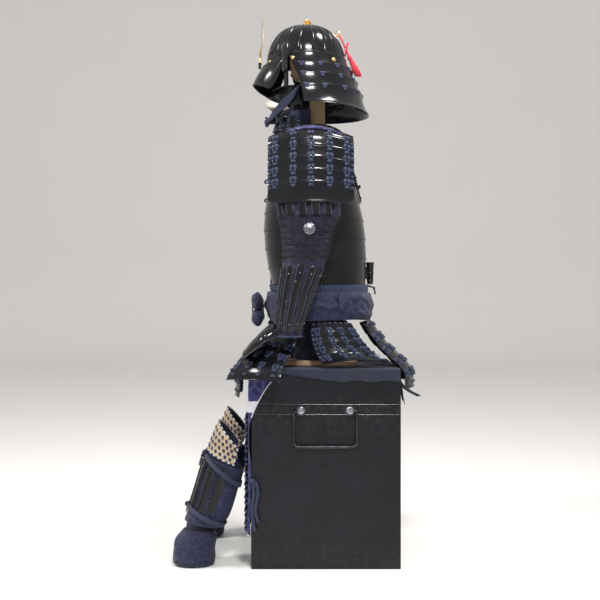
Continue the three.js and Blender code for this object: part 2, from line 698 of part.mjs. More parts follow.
/** A plain wooden stand: a foot on the lid, a post, a bar for the shoulders and a head for the helmet. */
function stand() {
  const foot = BOX.top + 2 * GAP + CLOTH;
  const head = [[1500, 22], [1482, 42], [1400, 46], [1352, 34]]
    .map(([z, half]) => ({ z, half, front: BOWL.middle - half, rear: BOWL.middle + half }));
  return joined([
    block([-110, -110, foot], [110, 90, foot + 14]),
    block([-22, -42, foot + 10], [22, 2, 1360]),
    block([-112, -36, 1136], [112, -6, 1168]),
    stacked(around(head, 16)),
  ]);
}
add('stand', stand(), WOOD);

export default model;
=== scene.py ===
"""Samurai armour on its storage box: the visible pieces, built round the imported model.

Shapes are worked out in millimetres and turned into metres when a mesh is made. The armour faces -Y
and its left side is +X; left pieces are built and the right ones are mirrored from them.
"""
import json
import math

import bpy
import numpy as np
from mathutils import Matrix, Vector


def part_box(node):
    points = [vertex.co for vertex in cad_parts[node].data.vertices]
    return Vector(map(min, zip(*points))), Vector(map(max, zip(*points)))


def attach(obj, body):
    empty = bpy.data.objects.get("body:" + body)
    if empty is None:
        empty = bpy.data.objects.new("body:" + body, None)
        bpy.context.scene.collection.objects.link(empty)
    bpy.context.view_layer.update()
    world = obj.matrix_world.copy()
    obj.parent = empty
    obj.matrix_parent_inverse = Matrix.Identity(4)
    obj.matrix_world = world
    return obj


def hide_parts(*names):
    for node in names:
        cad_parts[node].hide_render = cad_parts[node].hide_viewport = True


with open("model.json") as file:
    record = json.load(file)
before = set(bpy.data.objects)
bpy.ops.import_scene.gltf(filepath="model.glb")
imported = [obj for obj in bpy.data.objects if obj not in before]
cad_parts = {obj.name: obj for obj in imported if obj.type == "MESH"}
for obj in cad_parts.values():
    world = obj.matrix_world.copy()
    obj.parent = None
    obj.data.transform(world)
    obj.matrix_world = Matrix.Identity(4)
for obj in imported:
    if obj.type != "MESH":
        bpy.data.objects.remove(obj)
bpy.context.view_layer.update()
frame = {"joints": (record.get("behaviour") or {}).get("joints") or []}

METRE = 0.001                      # one millimetre, in metres
BODY = "armour"
rng = np.random.default_rng(7)
TAU = 2 * math.pi


# ------------------------------------------------------------------ small mathematics

def vec(*values):
    return np.array(values, dtype=float)


def unit(vector):
    return vector / max(np.linalg.norm(vector), 1e-9)


def mix(a, b, share):
    return a + (b - a) * share


def bump(value, centre, width):
    """A soft bell of height 1."""
    return math.exp(-((value - centre) / width) ** 2)


def oval(degrees, half, front, rear, z, square=1.0):
    """A point on an oval plan: 0 degrees is the front, 90 degrees the armour's left."""
    turn = math.radians(degrees)
    s, c = math.sin(turn), math.cos(turn)
    s = math.copysign(abs(s) ** square, s)
    c = math.copysign(abs(c) ** square, c)
    middle = (front + rear) / 2
    return vec(half * s, middle - (rear - middle) * c, z)


def table(rows, *columns):
    """Columns of a short table as smooth functions of its first column."""
    data = np.array(rows, dtype=float)
    order = np.argsort(data[:, 0])
    data = data[order]
    slopes = np.gradient(data[:, 1:], data[:, 0], axis=0)

    def read(value):
        value = min(max(value, data[0, 0]), data[-1, 0])
        i = min(int(np.searchsorted(data[:, 0], value, side="right")) - 1, len(data) - 2)
        step = data[i + 1, 0] - data[i, 0]
        t = (value - data[i, 0]) / step
        h00, h10 = 2 * t ** 3 - 3 * t ** 2 + 1, t ** 3 - 2 * t ** 2 + t
        h01, h11 = -2 * t ** 3 + 3 * t ** 2, t ** 3 - t ** 2
        found = (h00 * data[i, 1:] + h10 * step * slopes[i] + h01 * data[i + 1, 1:] + h11 * step * slopes[i + 1])
        return dict(zip(columns, found))
    return read


def smooth_path(points, count):
    """Points evenly spaced along a smooth curve through the given ones."""
    p = np.array(points, dtype=float)
    p = np.vstack([2 * p[0] - p[1], p, 2 * p[-1] - p[-2]])
    fine = []
    for i in range(1, len(p) - 2):
        for t in np.linspace(0, 1, 24, endpoint=False):
            fine.append(0.5 * (2 * p[i] + (p[i + 1] - p[i - 1]) * t
                               + (2 * p[i - 1] - 5 * p[i] + 4 * p[i + 1] - p[i + 2]) * t ** 2
                               + (3 * p[i] - p[i - 1] - 3 * p[i + 1] + p[i + 2]) * t ** 3))
    fine.append(p[-2])
    fine = np.array(fine)
    along = np.concatenate([[0], np.cumsum(np.linalg.norm(np.diff(fine, axis=0), axis=1))])
    wanted = np.linspace(0, along[-1], count)
    return np.stack([np.interp(wanted, along, fine[:, k]) for k in range(3)], axis=1)


class Surface:
    """A surface as a function of across (0 to 1, anticlockwise from above) and down (0 to 1)."""

    def __init__(self, place):
        self.place = place

    def frame(self, across, down):
        step = 2e-3
        right = self.place(across + step, down) - self.place(across - step, down)
        below = self.place(across, down + step) - self.place(across, down - step)
        right, below = unit(right), unit(below)
        return self.place(across, down), right, below, unit(np.cross(below, right))

    def at(self, across, down, out=0.0):
        point, _, _, normal = self.frame(across, down)
        return point + normal * out


# ------------------------------------------------------------------ making meshes

class Maker:
    """Collects the vertices and faces of one piece."""

    def __init__(self):
        self.points, self.faces = [], []

    def grid(self, rows, closed=False):
        base, columns = len(self.points), len(rows[0])
        for row in rows:
            self.points.extend(row)
        last = columns if closed else columns - 1
        for r in range(len(rows) - 1):
            for c in range(last):
                d = (c + 1) % columns
                a = base + r * columns
                self.faces.append((a + c, a + columns + c, a + columns + d, a + d))
        return base

    def wall(self, outer, inner, closed=False):
        """A closed wall between two grids of the same size."""
        columns, count = len(outer[0]), len(outer)
        top = self.grid(outer, closed)
        low = len(self.points)
        for row in inner:
            self.points.extend(row)
        last = columns if closed else columns - 1
        end = (count - 1) * columns
        for c in range(last):
            d = (c + 1) % columns
            for r in range(count - 1):
                a = low + r * columns
                self.faces.append((a + c, a + d, a + columns + d, a + columns + c))
            self.faces.append((top + c, top + d, low + d, low + c))
            self.faces.append((top + end + c, low + end + c, low + end + d, top + end + d))
        if not closed:
            for r in range(count - 1):
                for c, flip in ((0, False), (columns - 1, True)):
                    a, b = r * columns + c, (r + 1) * columns + c
                    face = (top + a, low + a, low + b, top + b)
                    self.faces.append(face[::-1] if flip else face)

    def slab(self, surface, across, down, thick, out=lambda u, v: 0.0, soft=0.35, closed=False):
        """A plate on a surface, its face moved out, its edges chamfered by a share of its thickness."""
        def ease(i, j):
            edge = i in (0, len(down) - 1) or (not closed and j in (0, len(across) - 1))
            return soft * thick if edge else 0.0
        outer, inner = [], []
        for i, v in enumerate(down):
            frames = [surface.frame(u, v) for u in across]
            outs = [out(u, v) for u in across]
            outer.append([f[0] + f[3] * (o - ease(i, j)) for j, (f, o) in enumerate(zip(frames, outs))])
            inner.append([f[0] + f[3] * (o - thick + ease(i, j)) for j, (f, o) in enumerate(zip(frames, outs))])
        self.wall(outer, inner, closed)

    def tube(self, path, radius, sides=8, flat=1.0, up=None):
        """A round or flattened bar along a path; the radius is a number or one for each point."""
        path = np.array(path, dtype=float)
        sizes = np.broadcast_to(np.array(radius, dtype=float), (len(path),))
        tangents = np.gradient(path, axis=0)
        side = unit(np.cross(tangents[0], up if up is not None else
                             (vec(0, 0, 1) if abs(unit(tangents[0])[2]) < 0.9 else vec(1, 0, 0))))
        rows = []
        for p, t, size in zip(path, tangents, sizes):
            t = unit(t)
            side = unit(side - t * np.dot(side, t))
            lift = np.cross(t, side)
            rows.append([p + size * (math.cos(a) * side + flat * math.sin(a) * lift)
                         for a in np.linspace(0, TAU, sides, endpoint=False)])
        base = self.grid(rows, closed=True)
        end = base + (len(rows) - 1) * sides
        self.faces.append(tuple(range(base, base + sides)))
        self.faces.append(tuple(range(end + sides - 1, end - 1, -1)))

    def pad(self, centre, right, below, normal, wide, tall, deep, rings=3, sides=8):
        """A soft rounded knot lying on a surface."""
        rows = []
        for k in range(rings + 1):
            rise = math.sin(k / rings * math.pi / 2)
            girth = math.cos(k / rings * math.pi / 2) ** 0.7 if k < rings else 0.12
            row = []
            for a in np.linspace(0, TAU, sides, endpoint=False):
                c, s = math.cos(a), math.sin(a)
                c, s = math.copysign(abs(c) ** 0.7, c), math.copysign(abs(s) ** 0.7, s)
                row.append(centre + right * (wide / 2 * girth * c) + below * (tall / 2 * girth * s)
                           + normal * (deep * rise - 0.6))
            rows.append(row)
        base = self.grid(rows, closed=True)
        top = base + rings * sides
        self.faces.append(tuple(range(base, base + sides)))
        self.faces.append(tuple(range(top + sides - 1, top - 1, -1)))

    def lathe(self, centre, axis, profile, sides=24, petals=0, depth=0.0):
        """A turned form: profile rows are the distance from the axis and the way along it."""
        axis = unit(axis)
        side = unit(np.cross(axis, vec(0, 0, 1) if abs(axis[2]) < 0.9 else vec(1, 0, 0)))
        lift = np.cross(axis, side)
        rows = []
        for size, height in profile:
            row = []
            for a in np.linspace(0, TAU, sides, endpoint=False):
                reach = size * (1 - depth * (0.5 + 0.5 * math.cos(petals * a))) if petals else size
                row.append(centre + axis * height + reach * (math.cos(a) * side + math.sin(a) * lift))
            rows.append(row)
        base = self.grid(rows, closed=True)
        end = base + (len(rows) - 1) * sides
        self.faces.append(tuple(range(base, base + sides)))
        self.faces.append(tuple(range(end + sides - 1, end - 1, -1)))

    def block(self, low, high, bevel=1.0):
        """A box with chamfered edges."""
        low, high = np.array(low, float), np.array(high, float)
        middle, half = (low + high) / 2, (high - low) / 2
        rows = []
        for z, inset in ((-1, 1), (-1, 0), (1, 0), (1, 1)):
            zz = half[2] * z if inset else (half[2] - bevel) * z
            hx, hy = half[0] - bevel * inset, half[1] - bevel * inset
            corner = bevel * 0.7
            row = [(hx - corner, -hy), (hx, -hy + corner), (hx, hy - corner), (hx - corner, hy),
                   (-hx + corner, hy), (-hx, hy - corner), (-hx, -hy + corner), (-hx + corner, -hy)]
            rows.append([middle + vec(x, y, zz) for x, y in row])
        base = self.grid(rows, closed=True)
        self.faces.append(tuple(range(base, base + 8)))
        self.faces.append(tuple(range(base + 31, base + 23, -1)))


def lay(name, maker, material, replaces=(), slot=None, body=BODY, crease=38, mirror=False):
    """Turns a maker into an object that rides on a body; mirrored pieces get the name of the right side."""
    points = np.array(maker.points, dtype=float) * METRE
    faces = maker.faces
    if mirror:
        points = points * (-1, 1, 1)
        faces = [face[::-1] for face in faces]
    mesh = bpy.data.meshes.new(name)
    mesh.from_pydata(points.tolist(), [], [tuple(int(i) for i in face) for face in faces])
    mesh.update()
    import bmesh
    work = bmesh.new()
    work.from_mesh(mesh)
    bmesh.ops.recalc_face_normals(work, faces=work.faces)
    work.to_mesh(mesh)
    work.free()
    mesh.shade_smooth()
    mesh.set_sharp_from_angle(angle=math.radians(crease))
    mesh.materials.append(material)
    piece = bpy.data.objects.new(name, mesh)
    bpy.context.scene.collection.objects.link(piece)
    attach(piece, body)
    if replaces:
        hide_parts(*replaces)
    return piece


def lay_pair(name, maker, material, replaces=(), **rest):
    """A left piece and its mirror image; replaced nodes are given by their name without the side."""
    pieces = []
    for side, mirror in (("left", False), ("right", True)):
        nodes = [f"{node}_{side}" for node in replaces]
        pieces.append(lay(f"{name}_{side}", maker, material, nodes, mirror=mirror, **rest))
    return pieces


# ------------------------------------------------------------------ materials

class Paint:
    """A node material, with short calls for the nodes that it needs."""

    def __init__(self, name, **settings):
        self.material = bpy.data.materials.new(name)
        self.material.use_nodes = True
        self.tree = self.material.node_tree
        self.shader = self.tree.nodes["Principled BSDF"]
        for socket, value in settings.items():
            self.shader.inputs[socket.replace("_", " ")].default_value = value
        self.place = self.node("ShaderNodeTexCoord").outputs["Object"]

    def node(self, kind, inputs=None, **settings):
        made = self.tree.nodes.new(kind)
        for key, value in settings.items():
            setattr(made, key, value)
        for key, value in (inputs or {}).items():
            self.feed(made.inputs[key], value)
        return made

    def feed(self, socket, value):
        if isinstance(value, bpy.types.NodeSocket):
            self.tree.links.new(value, socket)
        else:
            socket.default_value = value

    def stretched(self, x, y, z):
        return self.node("ShaderNodeMapping", {"Vector": self.place, "Scale": (x, y, z)}).outputs[0]

    def noise(self, scale, detail=3.0, rough=0.55, place=None):
        return self.node("ShaderNodeTexNoise", {"Vector": place or self.place, "Scale": scale, "Detail": detail,
                                                "Roughness": rough}).outputs["Fac"]

    def cells(self, scale, feature="F1", place=None):
        return self.node("ShaderNodeTexVoronoi", {"Vector": place or self.place, "Scale": scale},
                         feature=feature).outputs["Distance"]

    def waves(self, scale, direction="Z", distortion=0.0, place=None):
        return self.node("ShaderNodeTexWave", {"Vector": place or self.place, "Scale": scale,
                                               "Distortion": distortion}, bands_direction=direction).outputs["Fac"]

    def ramp(self, value, low, high, start=0.0, end=1.0):
        return self.node("ShaderNodeMapRange", {"Value": value, "From Min": start, "From Max": end, "To Min": low,
                                                "To Max": high}).outputs[0]

    def math(self, operation, a, b=0.0):
        return self.node("ShaderNodeMath", {0: a, 1: b}, operation=operation).outputs[0]

    def blend(self, share, first, second):
        made = self.node("ShaderNodeMix", data_type="RGBA")
        for socket, value in ((made.inputs["Factor"], share), (made.inputs["A"], first), (made.inputs["B"], second)):
            if isinstance(value, tuple):
                value = (*value[:3], 1.0)
            self.feed(socket, value)
        return made.outputs["Result"]

    def colour(self, value):
        self.feed(self.shader.inputs["Base Color"], value)

    def roughness(self, value):
        self.feed(self.shader.inputs["Roughness"], value)

    def relief(self, height, distance, strength=1.0):
        made = self.node("ShaderNodeBump", {"Height": height, "Distance": distance, "Strength": strength})
        self.feed(self.shader.inputs["Normal"], made.outputs[0])

    def edges(self):
        """How sharp the edge is here, 0 to 1."""
        return self.ramp(self.node("ShaderNodeNewGeometry").outputs["Pointiness"], 0.0, 1.0, 0.52, 0.62)


def lacquer(name, colour, rough, wave, wear=0.35):
    """Gloss over iron or wood: slow waves in the coat, fine scratches and rubbed edges."""
    paint = Paint(name, Coat_Weight=0.12, Coat_Roughness=0.1, Specular_IOR_Level=0.2)
    slow, fine = paint.noise(9.0, 2.0), paint.noise(420.0, 2.0)
    scratch = paint.noise(60.0, 4.0, 0.7, paint.stretched(6.0, 1.0, 0.35))
    worn = paint.math("MULTIPLY", paint.edges(), paint.ramp(paint.noise(70.0), 0.0, wear, 0.45, 0.7))
    tint = paint.blend(paint.ramp(slow, 0.0, 1.0, 0.3, 0.7), colour, tuple(1.7 * c + 0.001 for c in colour))
    paint.colour(paint.blend(worn, tint, (0.09, 0.075, 0.06)))
    paint.roughness(paint.math("ADD", paint.ramp(scratch, rough * 0.8, rough * 1.5, 0.35, 0.75),
                               paint.math("MULTIPLY", worn, 0.3)))
    height = paint.math("ADD", paint.math("MULTIPLY", slow, 1.0), paint.math("MULTIPLY", fine, 0.015))
    paint.relief(height, wave, 0.6)
    return paint.material


def metal(name, colour, rough, dark):
    """Gilt or iron: darker in the hollows, with small dents."""
    paint = Paint(name, Metallic=1.0)
    patina = paint.noise(55.0, 5.0, 0.65)
    paint.colour(paint.blend(paint.ramp(patina, 0.0, 0.8, 0.42, 0.68), colour, dark))
    paint.roughness(paint.ramp(paint.noise(180.0), rough * 0.75, rough * 1.5, 0.3, 0.7))
    paint.relief(paint.noise(260.0), 0.0004)
    return paint.material


def weave(name, colour, light, scale=900.0, sheen=0.1, rough=0.8):
    """A plain woven cloth: crossing threads with a painted highlight on their raised crossings, slow fading and a soft
    sheen.
    """
    paint = Paint(name, Sheen_Weight=sheen, Sheen_Roughness=0.45)
    threads = paint.math("MULTIPLY", paint.waves(scale, "Z", 0.6), paint.waves(scale, "DIAGONAL", 0.6))
    slow = paint.noise(14.0, 4.0)
    # painted highlight: the colour is lighter where the threads cross and rise; the slow noise gives real fading
    paint.colour(paint.blend(paint.ramp(paint.math("ADD", slow, paint.math("MULTIPLY", threads, 0.35)),
                                        0.0, 1.0, 0.35, 0.95), colour, light))
    paint.roughness(paint.ramp(slow, rough * 0.85, rough * 1.1, 0.3, 0.7))
    paint.relief(paint.math("ADD", threads, paint.math("MULTIPLY", paint.noise(120.0), 0.8)), 0.0005, 0.8)
    return paint.material


def braid(name, colour, light, pitch=520.0):
    """Flat silk braid: a slanted plait whose ridges get a painted highlight, lighter in colour, with random tone from
    noise.
    """
    paint = Paint(name, Sheen_Weight=0.1, Sheen_Roughness=0.4)
    plait = paint.math("MAXIMUM", paint.waves(pitch, "DIAGONAL"), paint.waves(pitch, "DIAGONAL", 0.0,
                       paint.stretched(-1.0, 1.0, 1.0)))
    # painted highlight: the colour is lighter on the plait's raised ridges; the noise adds random tone
    tone = paint.math("ADD", paint.math("MULTIPLY", plait, 0.6), paint.math("MULTIPLY", paint.noise(38.0), 0.6))
    paint.colour(paint.blend(paint.ramp(tone, 0.0, 1.0, 0.25, 0.95), colour, light))
    paint.roughness(paint.ramp(plait, 0.75, 0.55))
    paint.relief(plait, 0.0006, 0.8)
    return paint.material


def brocade(name, ground, figure, glint, scale=30.0, amount=0.5):
    """Silk brocade: a generic scroll of leaves and buds in a lighter thread over a dark satin ground."""
    paint = Paint(name, Sheen_Weight=0.12, Sheen_Roughness=0.35)
    bend = paint.node("ShaderNodeVectorMath", {0: paint.place, 1: paint.node("ShaderNodeVectorMath", {
        0: paint.node("ShaderNodeTexNoise", {"Vector": paint.place, "Scale": scale * 0.8}).outputs["Color"],
        1: (0.02, 0.02, 0.02)}, operation="MULTIPLY").outputs[0]}).outputs[0]
    scroll = paint.ramp(paint.cells(scale, "DISTANCE_TO_EDGE", bend), 1.0, 0.0, 0.02, 0.09)
    bud = paint.ramp(paint.cells(scale * 1.7, "F1", bend), 1.0, 0.0, 0.18, 0.3)
    pattern = paint.math("MULTIPLY", paint.math("MAXIMUM", scroll, bud), amount)
    threads = paint.waves(1100.0, "DIAGONAL", 0.4)
    fade = paint.ramp(paint.noise(11.0, 4.0), 0.55, 1.1, 0.3, 0.7)
    tone = paint.blend(paint.math("MULTIPLY", pattern, fade), ground, figure)
    paint.colour(paint.blend(paint.math("MULTIPLY", paint.math("MULTIPLY", bud, threads), amount * 0.5), tone, glint))
    paint.roughness(paint.ramp(pattern, 0.72, 0.45))
    paint.relief(paint.math("ADD", paint.math("MULTIPLY", pattern, 1.4), paint.math(
        "ADD", paint.math("MULTIPLY", threads, 0.5), paint.noise(60.0))), 0.0007, 0.9)
    return paint.material


def hide(name, colour, dark):
    """Tanned leather: pebbled grain whose pits and creases are painted darker as shade, and darker handling marks."""
    paint = Paint(name)
    grain, slow = paint.cells(420.0), paint.noise(16.0, 5.0)
    # painted shade: the colour darkens where the grain's bump is low, in its pits; the slow noise gives darker handling
    # marks
    paint.colour(paint.blend(paint.ramp(paint.math("ADD", slow, paint.math("MULTIPLY", grain, 0.35)),
                                        1.0, 0.0, 0.4, 0.95), colour, dark))
    paint.roughness(paint.ramp(slow, 0.5, 0.75, 0.3, 0.7))
    paint.relief(paint.math("ADD", grain, paint.noise(90.0)), 0.0006, 0.7)
    return paint.material


def fibre(name, colour, light, along=(60.0, 60.0, 3.0), rough=0.65):
    """Loose silk or horsehair: fine strands along one way."""
    paint = Paint(name, Sheen_Weight=0.25)
    strand = paint.noise(9.0, 3.0, 0.6, paint.stretched(*along))
    paint.colour(paint.blend(paint.ramp(strand, 0.0, 1.0, 0.35, 0.65), colour, light))
    paint.roughness(paint.ramp(strand, rough, rough * 0.7))
    paint.relief(strand, 0.0008)
    return paint.material


def timber(name, colour, dark):
    paint = Paint(name)
    rings = paint.waves(26.0, "X", 4.0, paint.stretched(1.0, 1.0, 0.12))
    paint.colour(paint.blend(paint.ramp(rings, 0.0, 0.8), colour, dark))
    paint.roughness(paint.ramp(rings, 0.5, 0.7))
    paint.relief(rings, 0.0003)
    return paint.material


BLACK = lacquer("black_lacquer", (0.0045, 0.0042, 0.0052), 0.15, 0.0016)
BLACK_DEEP = lacquer("black_lacquer_body", (0.004, 0.0038, 0.0045), 0.2, 0.0022)
BOX_BLACK = lacquer("box_lacquer", (0.0032, 0.0034, 0.0058), 0.4, 0.0008, wear=0.4)
GILT = metal("gilt", (0.83, 0.56, 0.2), 0.26, (0.38, 0.22, 0.07))
PALE_GILT = metal("pale_gilt", (0.86, 0.76, 0.5), 0.3, (0.5, 0.38, 0.2))
IRON = metal("blackened_iron", (0.055, 0.055, 0.06), 0.38, (0.02, 0.018, 0.02))
STEEL = metal("bright_iron", (0.36, 0.36, 0.39), 0.26, (0.09, 0.09, 0.1))
SILVER = metal("silvered_iron", (0.22, 0.22, 0.25), 0.3, (0.05, 0.05, 0.06))
RUSSET = metal("russet_iron", (0.1, 0.045, 0.04), 0.4, (0.03, 0.02, 0.02))
LACING = braid("navy_lacing", (0.004, 0.0075, 0.026), (0.018, 0.031, 0.085))
CORD = braid("navy_cord", (0.0035, 0.006, 0.022), (0.013, 0.022, 0.065), 700.0)
HEM_CORD = braid("pale_blue_cord", (0.09, 0.14, 0.3), (0.22, 0.32, 0.55), 600.0)
BROCADE = brocade("sleeve_brocade", (0.0045, 0.004, 0.022), (0.03, 0.024, 0.1), (0.07, 0.06, 0.16), 34.0, 0.5)
APRON_SILK = brocade("apron_brocade", (0.011, 0.009, 0.075), (0.1, 0.09, 0.27), (0.2, 0.2, 0.36), 26.0, 0.65)
SASH_SILK = brocade("sash_brocade", (0.0055, 0.0065, 0.034), (0.026, 0.026, 0.09), (0.05, 0.05, 0.13), 40.0, 0.45)
SHIN_SILK = brocade("shin_brocade", (0.0045, 0.006, 0.035), (0.03, 0.028, 0.11), (0.06, 0.055, 0.14), 44.0, 0.4)
SEAT_CLOTH = weave("seat_cloth", (0.004, 0.006, 0.02), (0.013, 0.018, 0.045))
SILVER_SILK = weave("silver_silk", (0.38, 0.39, 0.42), (0.72, 0.72, 0.74), 700.0, 0.2)
TAN = hide("tan_leather", (0.52, 0.41, 0.27), (0.27, 0.2, 0.13))
CRIMSON = fibre("crimson_silk", (0.42, 0.006, 0.022), (0.72, 0.03, 0.06))
HAIR = fibre("horsehair", (0.62, 0.55, 0.42), (0.86, 0.82, 0.72))
MOUTH = lacquer("russet_lacquer", (0.09, 0.012, 0.01), 0.3, 0.001)
WOOD = timber("stand_wood", (0.42, 0.29, 0.17), (0.3, 0.19, 0.1))


# ------------------------------------------------------------------ camera, floor and light

def camera():
    data = bpy.data.cameras.new("camera")
    data.lens, data.sensor_width = 55.8, 36.0
    data.shift_y = -0.01
    made = bpy.data.objects.new("camera", data)
    bpy.context.scene.collection.objects.link(made)
    made.location = (2.682, -0.0694, 0.735)
    made.rotation_euler = (math.radians(90), 0, math.radians(90))
    bpy.context.scene.camera = made


def lamp(name, kind, energy, location, aim, size=1.0, size_y=None, colour=(1, 1, 1)):
    data = bpy.data.lights.new(name, kind)
    data.energy, data.color = energy, colour
    if kind == "AREA":
        data.shape, data.size, data.size_y = "RECTANGLE", size, size_y or size
    made = bpy.data.objects.new(name, data)
    bpy.context.scene.collection.objects.link(made)
    made.location = location
    away = vec(*location) - vec(*aim)
    from mathutils import Vector
    made.rotation_euler = Vector(away).to_track_quat("Z", "Y").to_euler()


def plain(name, colour, rough):
    paint = Paint(name)
    slow = paint.noise(1.3, 2.0)
    paint.colour(paint.blend(paint.ramp(slow, 0.0, 1.0, 0.3, 0.7), colour, tuple(0.985 * c for c in colour)))
    paint.roughness(rough)
    return paint.material


def studio():
    """A pale floor that curves up into a pale wall far behind, and a thin pale disc at floor level."""
    rows = []
    wide, reach, bend = 9.0, 7.0, 1.2
    for angle in np.linspace(0, math.pi / 2, 12):
        rows.append((-reach - bend * math.sin(angle), bend * (1 - math.cos(angle))))
    path = [(9.0, 0.0), *rows, (-reach - bend, 9.0)]
    mesh = bpy.data.meshes.new("studio")
    points = [(x, y, z) for x, z in path for y in (-wide, wide)]
    mesh.from_pydata(points, [], [(2 * i, 2 * i + 2, 2 * i + 3, 2 * i + 1) for i in range(len(path) - 1)])
    mesh.update()
    mesh.shade_smooth()
    mesh.materials.append(plain("studio_white", (0.82, 0.8, 0.77), 0.55))
    floor = bpy.data.objects.new("studio", mesh)
    bpy.context.scene.collection.objects.link(floor)
    disc = Maker()
    disc.lathe(vec(0, 0, -1.2), vec(0, 0, 1), [(8, 0.2), (700, 0.2), (705, 1.0), (700, 1.15), (8, 1.15)], 128)
    mesh = bpy.data.meshes.new("plinth_disc")
    mesh.from_pydata([tuple(p * METRE) for p in disc.points], [], disc.faces)
    mesh.materials.append(plain("disc_white", (0.83, 0.83, 0.82), 0.5))
    plinth = bpy.data.objects.new("plinth_disc", mesh)
    bpy.context.scene.collection.objects.link(plinth)


def lights():
    world = bpy.data.worlds.new("studio_world")
    bpy.context.scene.world = world
    world.use_nodes = True
    world.node_tree.nodes["Background"].inputs[0].default_value = (0.93, 0.93, 0.95, 1)
    world.node_tree.nodes["Background"].inputs[1].default_value = 0.72
    bpy.context.scene.view_settings.view_transform = "Standard"
    lamp("key", "AREA", 62, (1.9, 0.2, 2.6), (0, 0, 0.8), 0.5, 0.3)
    lamp("back_panel", "AREA", 60, (0.8, -2.2, 3.0), (0, 0, 0.9), 0.6, 0.4)
    lamp("top_panel", "AREA", 45, (0.3, 0.9, 3.2), (0, 0, 0.8), 0.5, 0.5)


camera()
studio()
lights()


# ------------------------------------------------------------------ laced cords

def knot(maker, surface, across, down, wide=13, tall=10, deep=4.5, out=0.0):
    """One crossing of the lacing."""
    point, right, below, normal = surface.frame(across, down)
    maker.pad(point + normal * out, right, below, normal, wide, tall, deep)


def double_knot(maker, surface, across, down, wide=20, tall=13, deep=4.5, out=0.0, splay=0.3):
    """A pair of cords side by side, leaning together at the top."""
    point, right, below, normal = surface.frame(across, down)
    for side in (-1, 1):
        lean = below + right * side * splay
        lean = unit(lean)
        maker.pad(point + normal * out + right * side * wide / 4, unit(np.cross(normal, lean)), lean, normal,
                  wide / 2 * 0.95, tall, deep)


def steps(first, last, count):
    return np.linspace(first, last, count + 1)


def torus(maker, centre, axis, radius, thick, sides=20, tube_sides=8):
    axis = unit(axis)
    side = unit(np.cross(axis, vec(0.31, 0.9, 0.2)))
    lift = np.cross(axis, side)
    rows = []
    for a in np.linspace(0, TAU, sides, endpoint=False):
        out = math.cos(a) * side + math.sin(a) * lift
        rows.append([centre + out * (radius + thick * math.cos(b)) + axis * thick * math.sin(b)
                     for b in np.linspace(0, TAU, tube_sides, endpoint=False)])
    base = maker.grid(rows, closed=True)
    end = base + (sides - 1) * tube_sides
    for c in range(tube_sides):
        d = (c + 1) % tube_sides
        maker.faces.append((end + c, base + c, base + d, end + d))


# ------------------------------------------------------------------ storage box

def box_bounds():
    low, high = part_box("box_body")
    return np.array(low) / METRE, np.array(high) / METRE


BOX_LOW, BOX_HIGH = box_bounds()
LID_LOW, LID_HIGH = (np.array(corner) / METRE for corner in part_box("box_lid"))
SIDE = float(BOX_HIGH[0])           # half the width of the box
SEAM, TOP = float(LID_LOW[2]), float(LID_HIGH[2])
WALL, LIP = 10.0, 22.0
HINGE_Z = frame["joints"][0]["pos_m"][2] / METRE if frame["joints"] else 424.0


def chest_shell(maker, low, high, open_end, bevel=2.2):
    """A square wooden tray with rounded arrises, closed at one end and open at the other."""
    half, room = SIDE, SIDE - WALL
    shut = low if open_end > low else high
    way = 1 if open_end > shut else -1
    floor = shut + way * WALL

    def ring(size, z, corner):
        points = []
        for sx, sy in ((1, -1), (1, 1), (-1, 1), (-1, -1)):
            turn = math.atan2(sy, sx)
            for part in (-1, -0.33, 0.33, 1):
                a = turn + part * math.pi / 4
                centre = vec(sx * (size - corner), sy * (size - corner), z)
                points.append(centre + corner * vec(math.cos(a), math.sin(a), 0))
        return points
    rows = [ring(half - bevel, shut, 1.0), ring(half - bevel * 0.3, shut + way * bevel * 0.3, 1.6),
            ring(half, shut + way * bevel, bevel)]
    rows += [ring(half, z, bevel) for z in steps(shut + way * bevel, open_end - way * 0.8, 6)[1:]]
    rows += [ring(half - 0.8, open_end, bevel), ring(room, open_end, 0.6), ring(room, floor, 0.6)]
    base = maker.grid(rows, closed=True)
    count = len(rows[0])
    end = base + (len(rows) - 1) * count
    maker.faces.append(tuple(range(base, base + count)))
    maker.faces.append(tuple(range(end + count - 1, end - 1, -1)))


def storage_box():
    body, lid, trim = Maker(), Maker(), Maker()
    chest_shell(body, 0.0, SEAM - 0.6, SEAM - 0.6)
    lay("box_body_shell", body, BOX_BLACK, ["box_body"], slot="box_lacquer")
    chest_shell(lid, SEAM, TOP, SEAM)
    lay("box_lid_shell", lid, BOX_BLACK, ["box_lid"], slot="box_lacquer")
    # the lid's lower rim and the ledge under it
    for z, proud in ((SEAM + 1.6, 1.1), (SEAM - 25.0, 0.9)):
        path = [vec(SIDE, -SIDE, z), vec(SIDE, SIDE, z), vec(-SIDE, SIDE, z), vec(-SIDE, -SIDE, z), vec(SIDE, -SIDE, z)]
        for a, b in zip(path, path[1:]):
            trim.tube([a, mix(a, b, 0.5), b], proud, 6)
    # the inner lip that the lid fits over, and a small plate on each side
    for sx in (1, -1):
        trim.block((sx * (SIDE - 21) - 5, -179, SEAM - 12), (sx * (SIDE - 21) + 5, 179, SEAM + LIP - 0.5), 0.8)
        trim.block((-179, sx * (SIDE - 21) - 5, SEAM - 12), (179, sx * (SIDE - 21) + 5, SEAM + LIP - 0.5), 0.8)
        trim.block((sx * (SIDE + 0.5) - 0.8, -26, 277), (sx * (SIDE + 0.5) + 0.8, 18, 281), 0.4)
    lay("box_trim", trim, BOX_BLACK, slot="box_lacquer")


HANDLE = dict(x=208.5, thick=4.0, reach=8.0, clear=10.6, drop=97.0, corner=16.0)


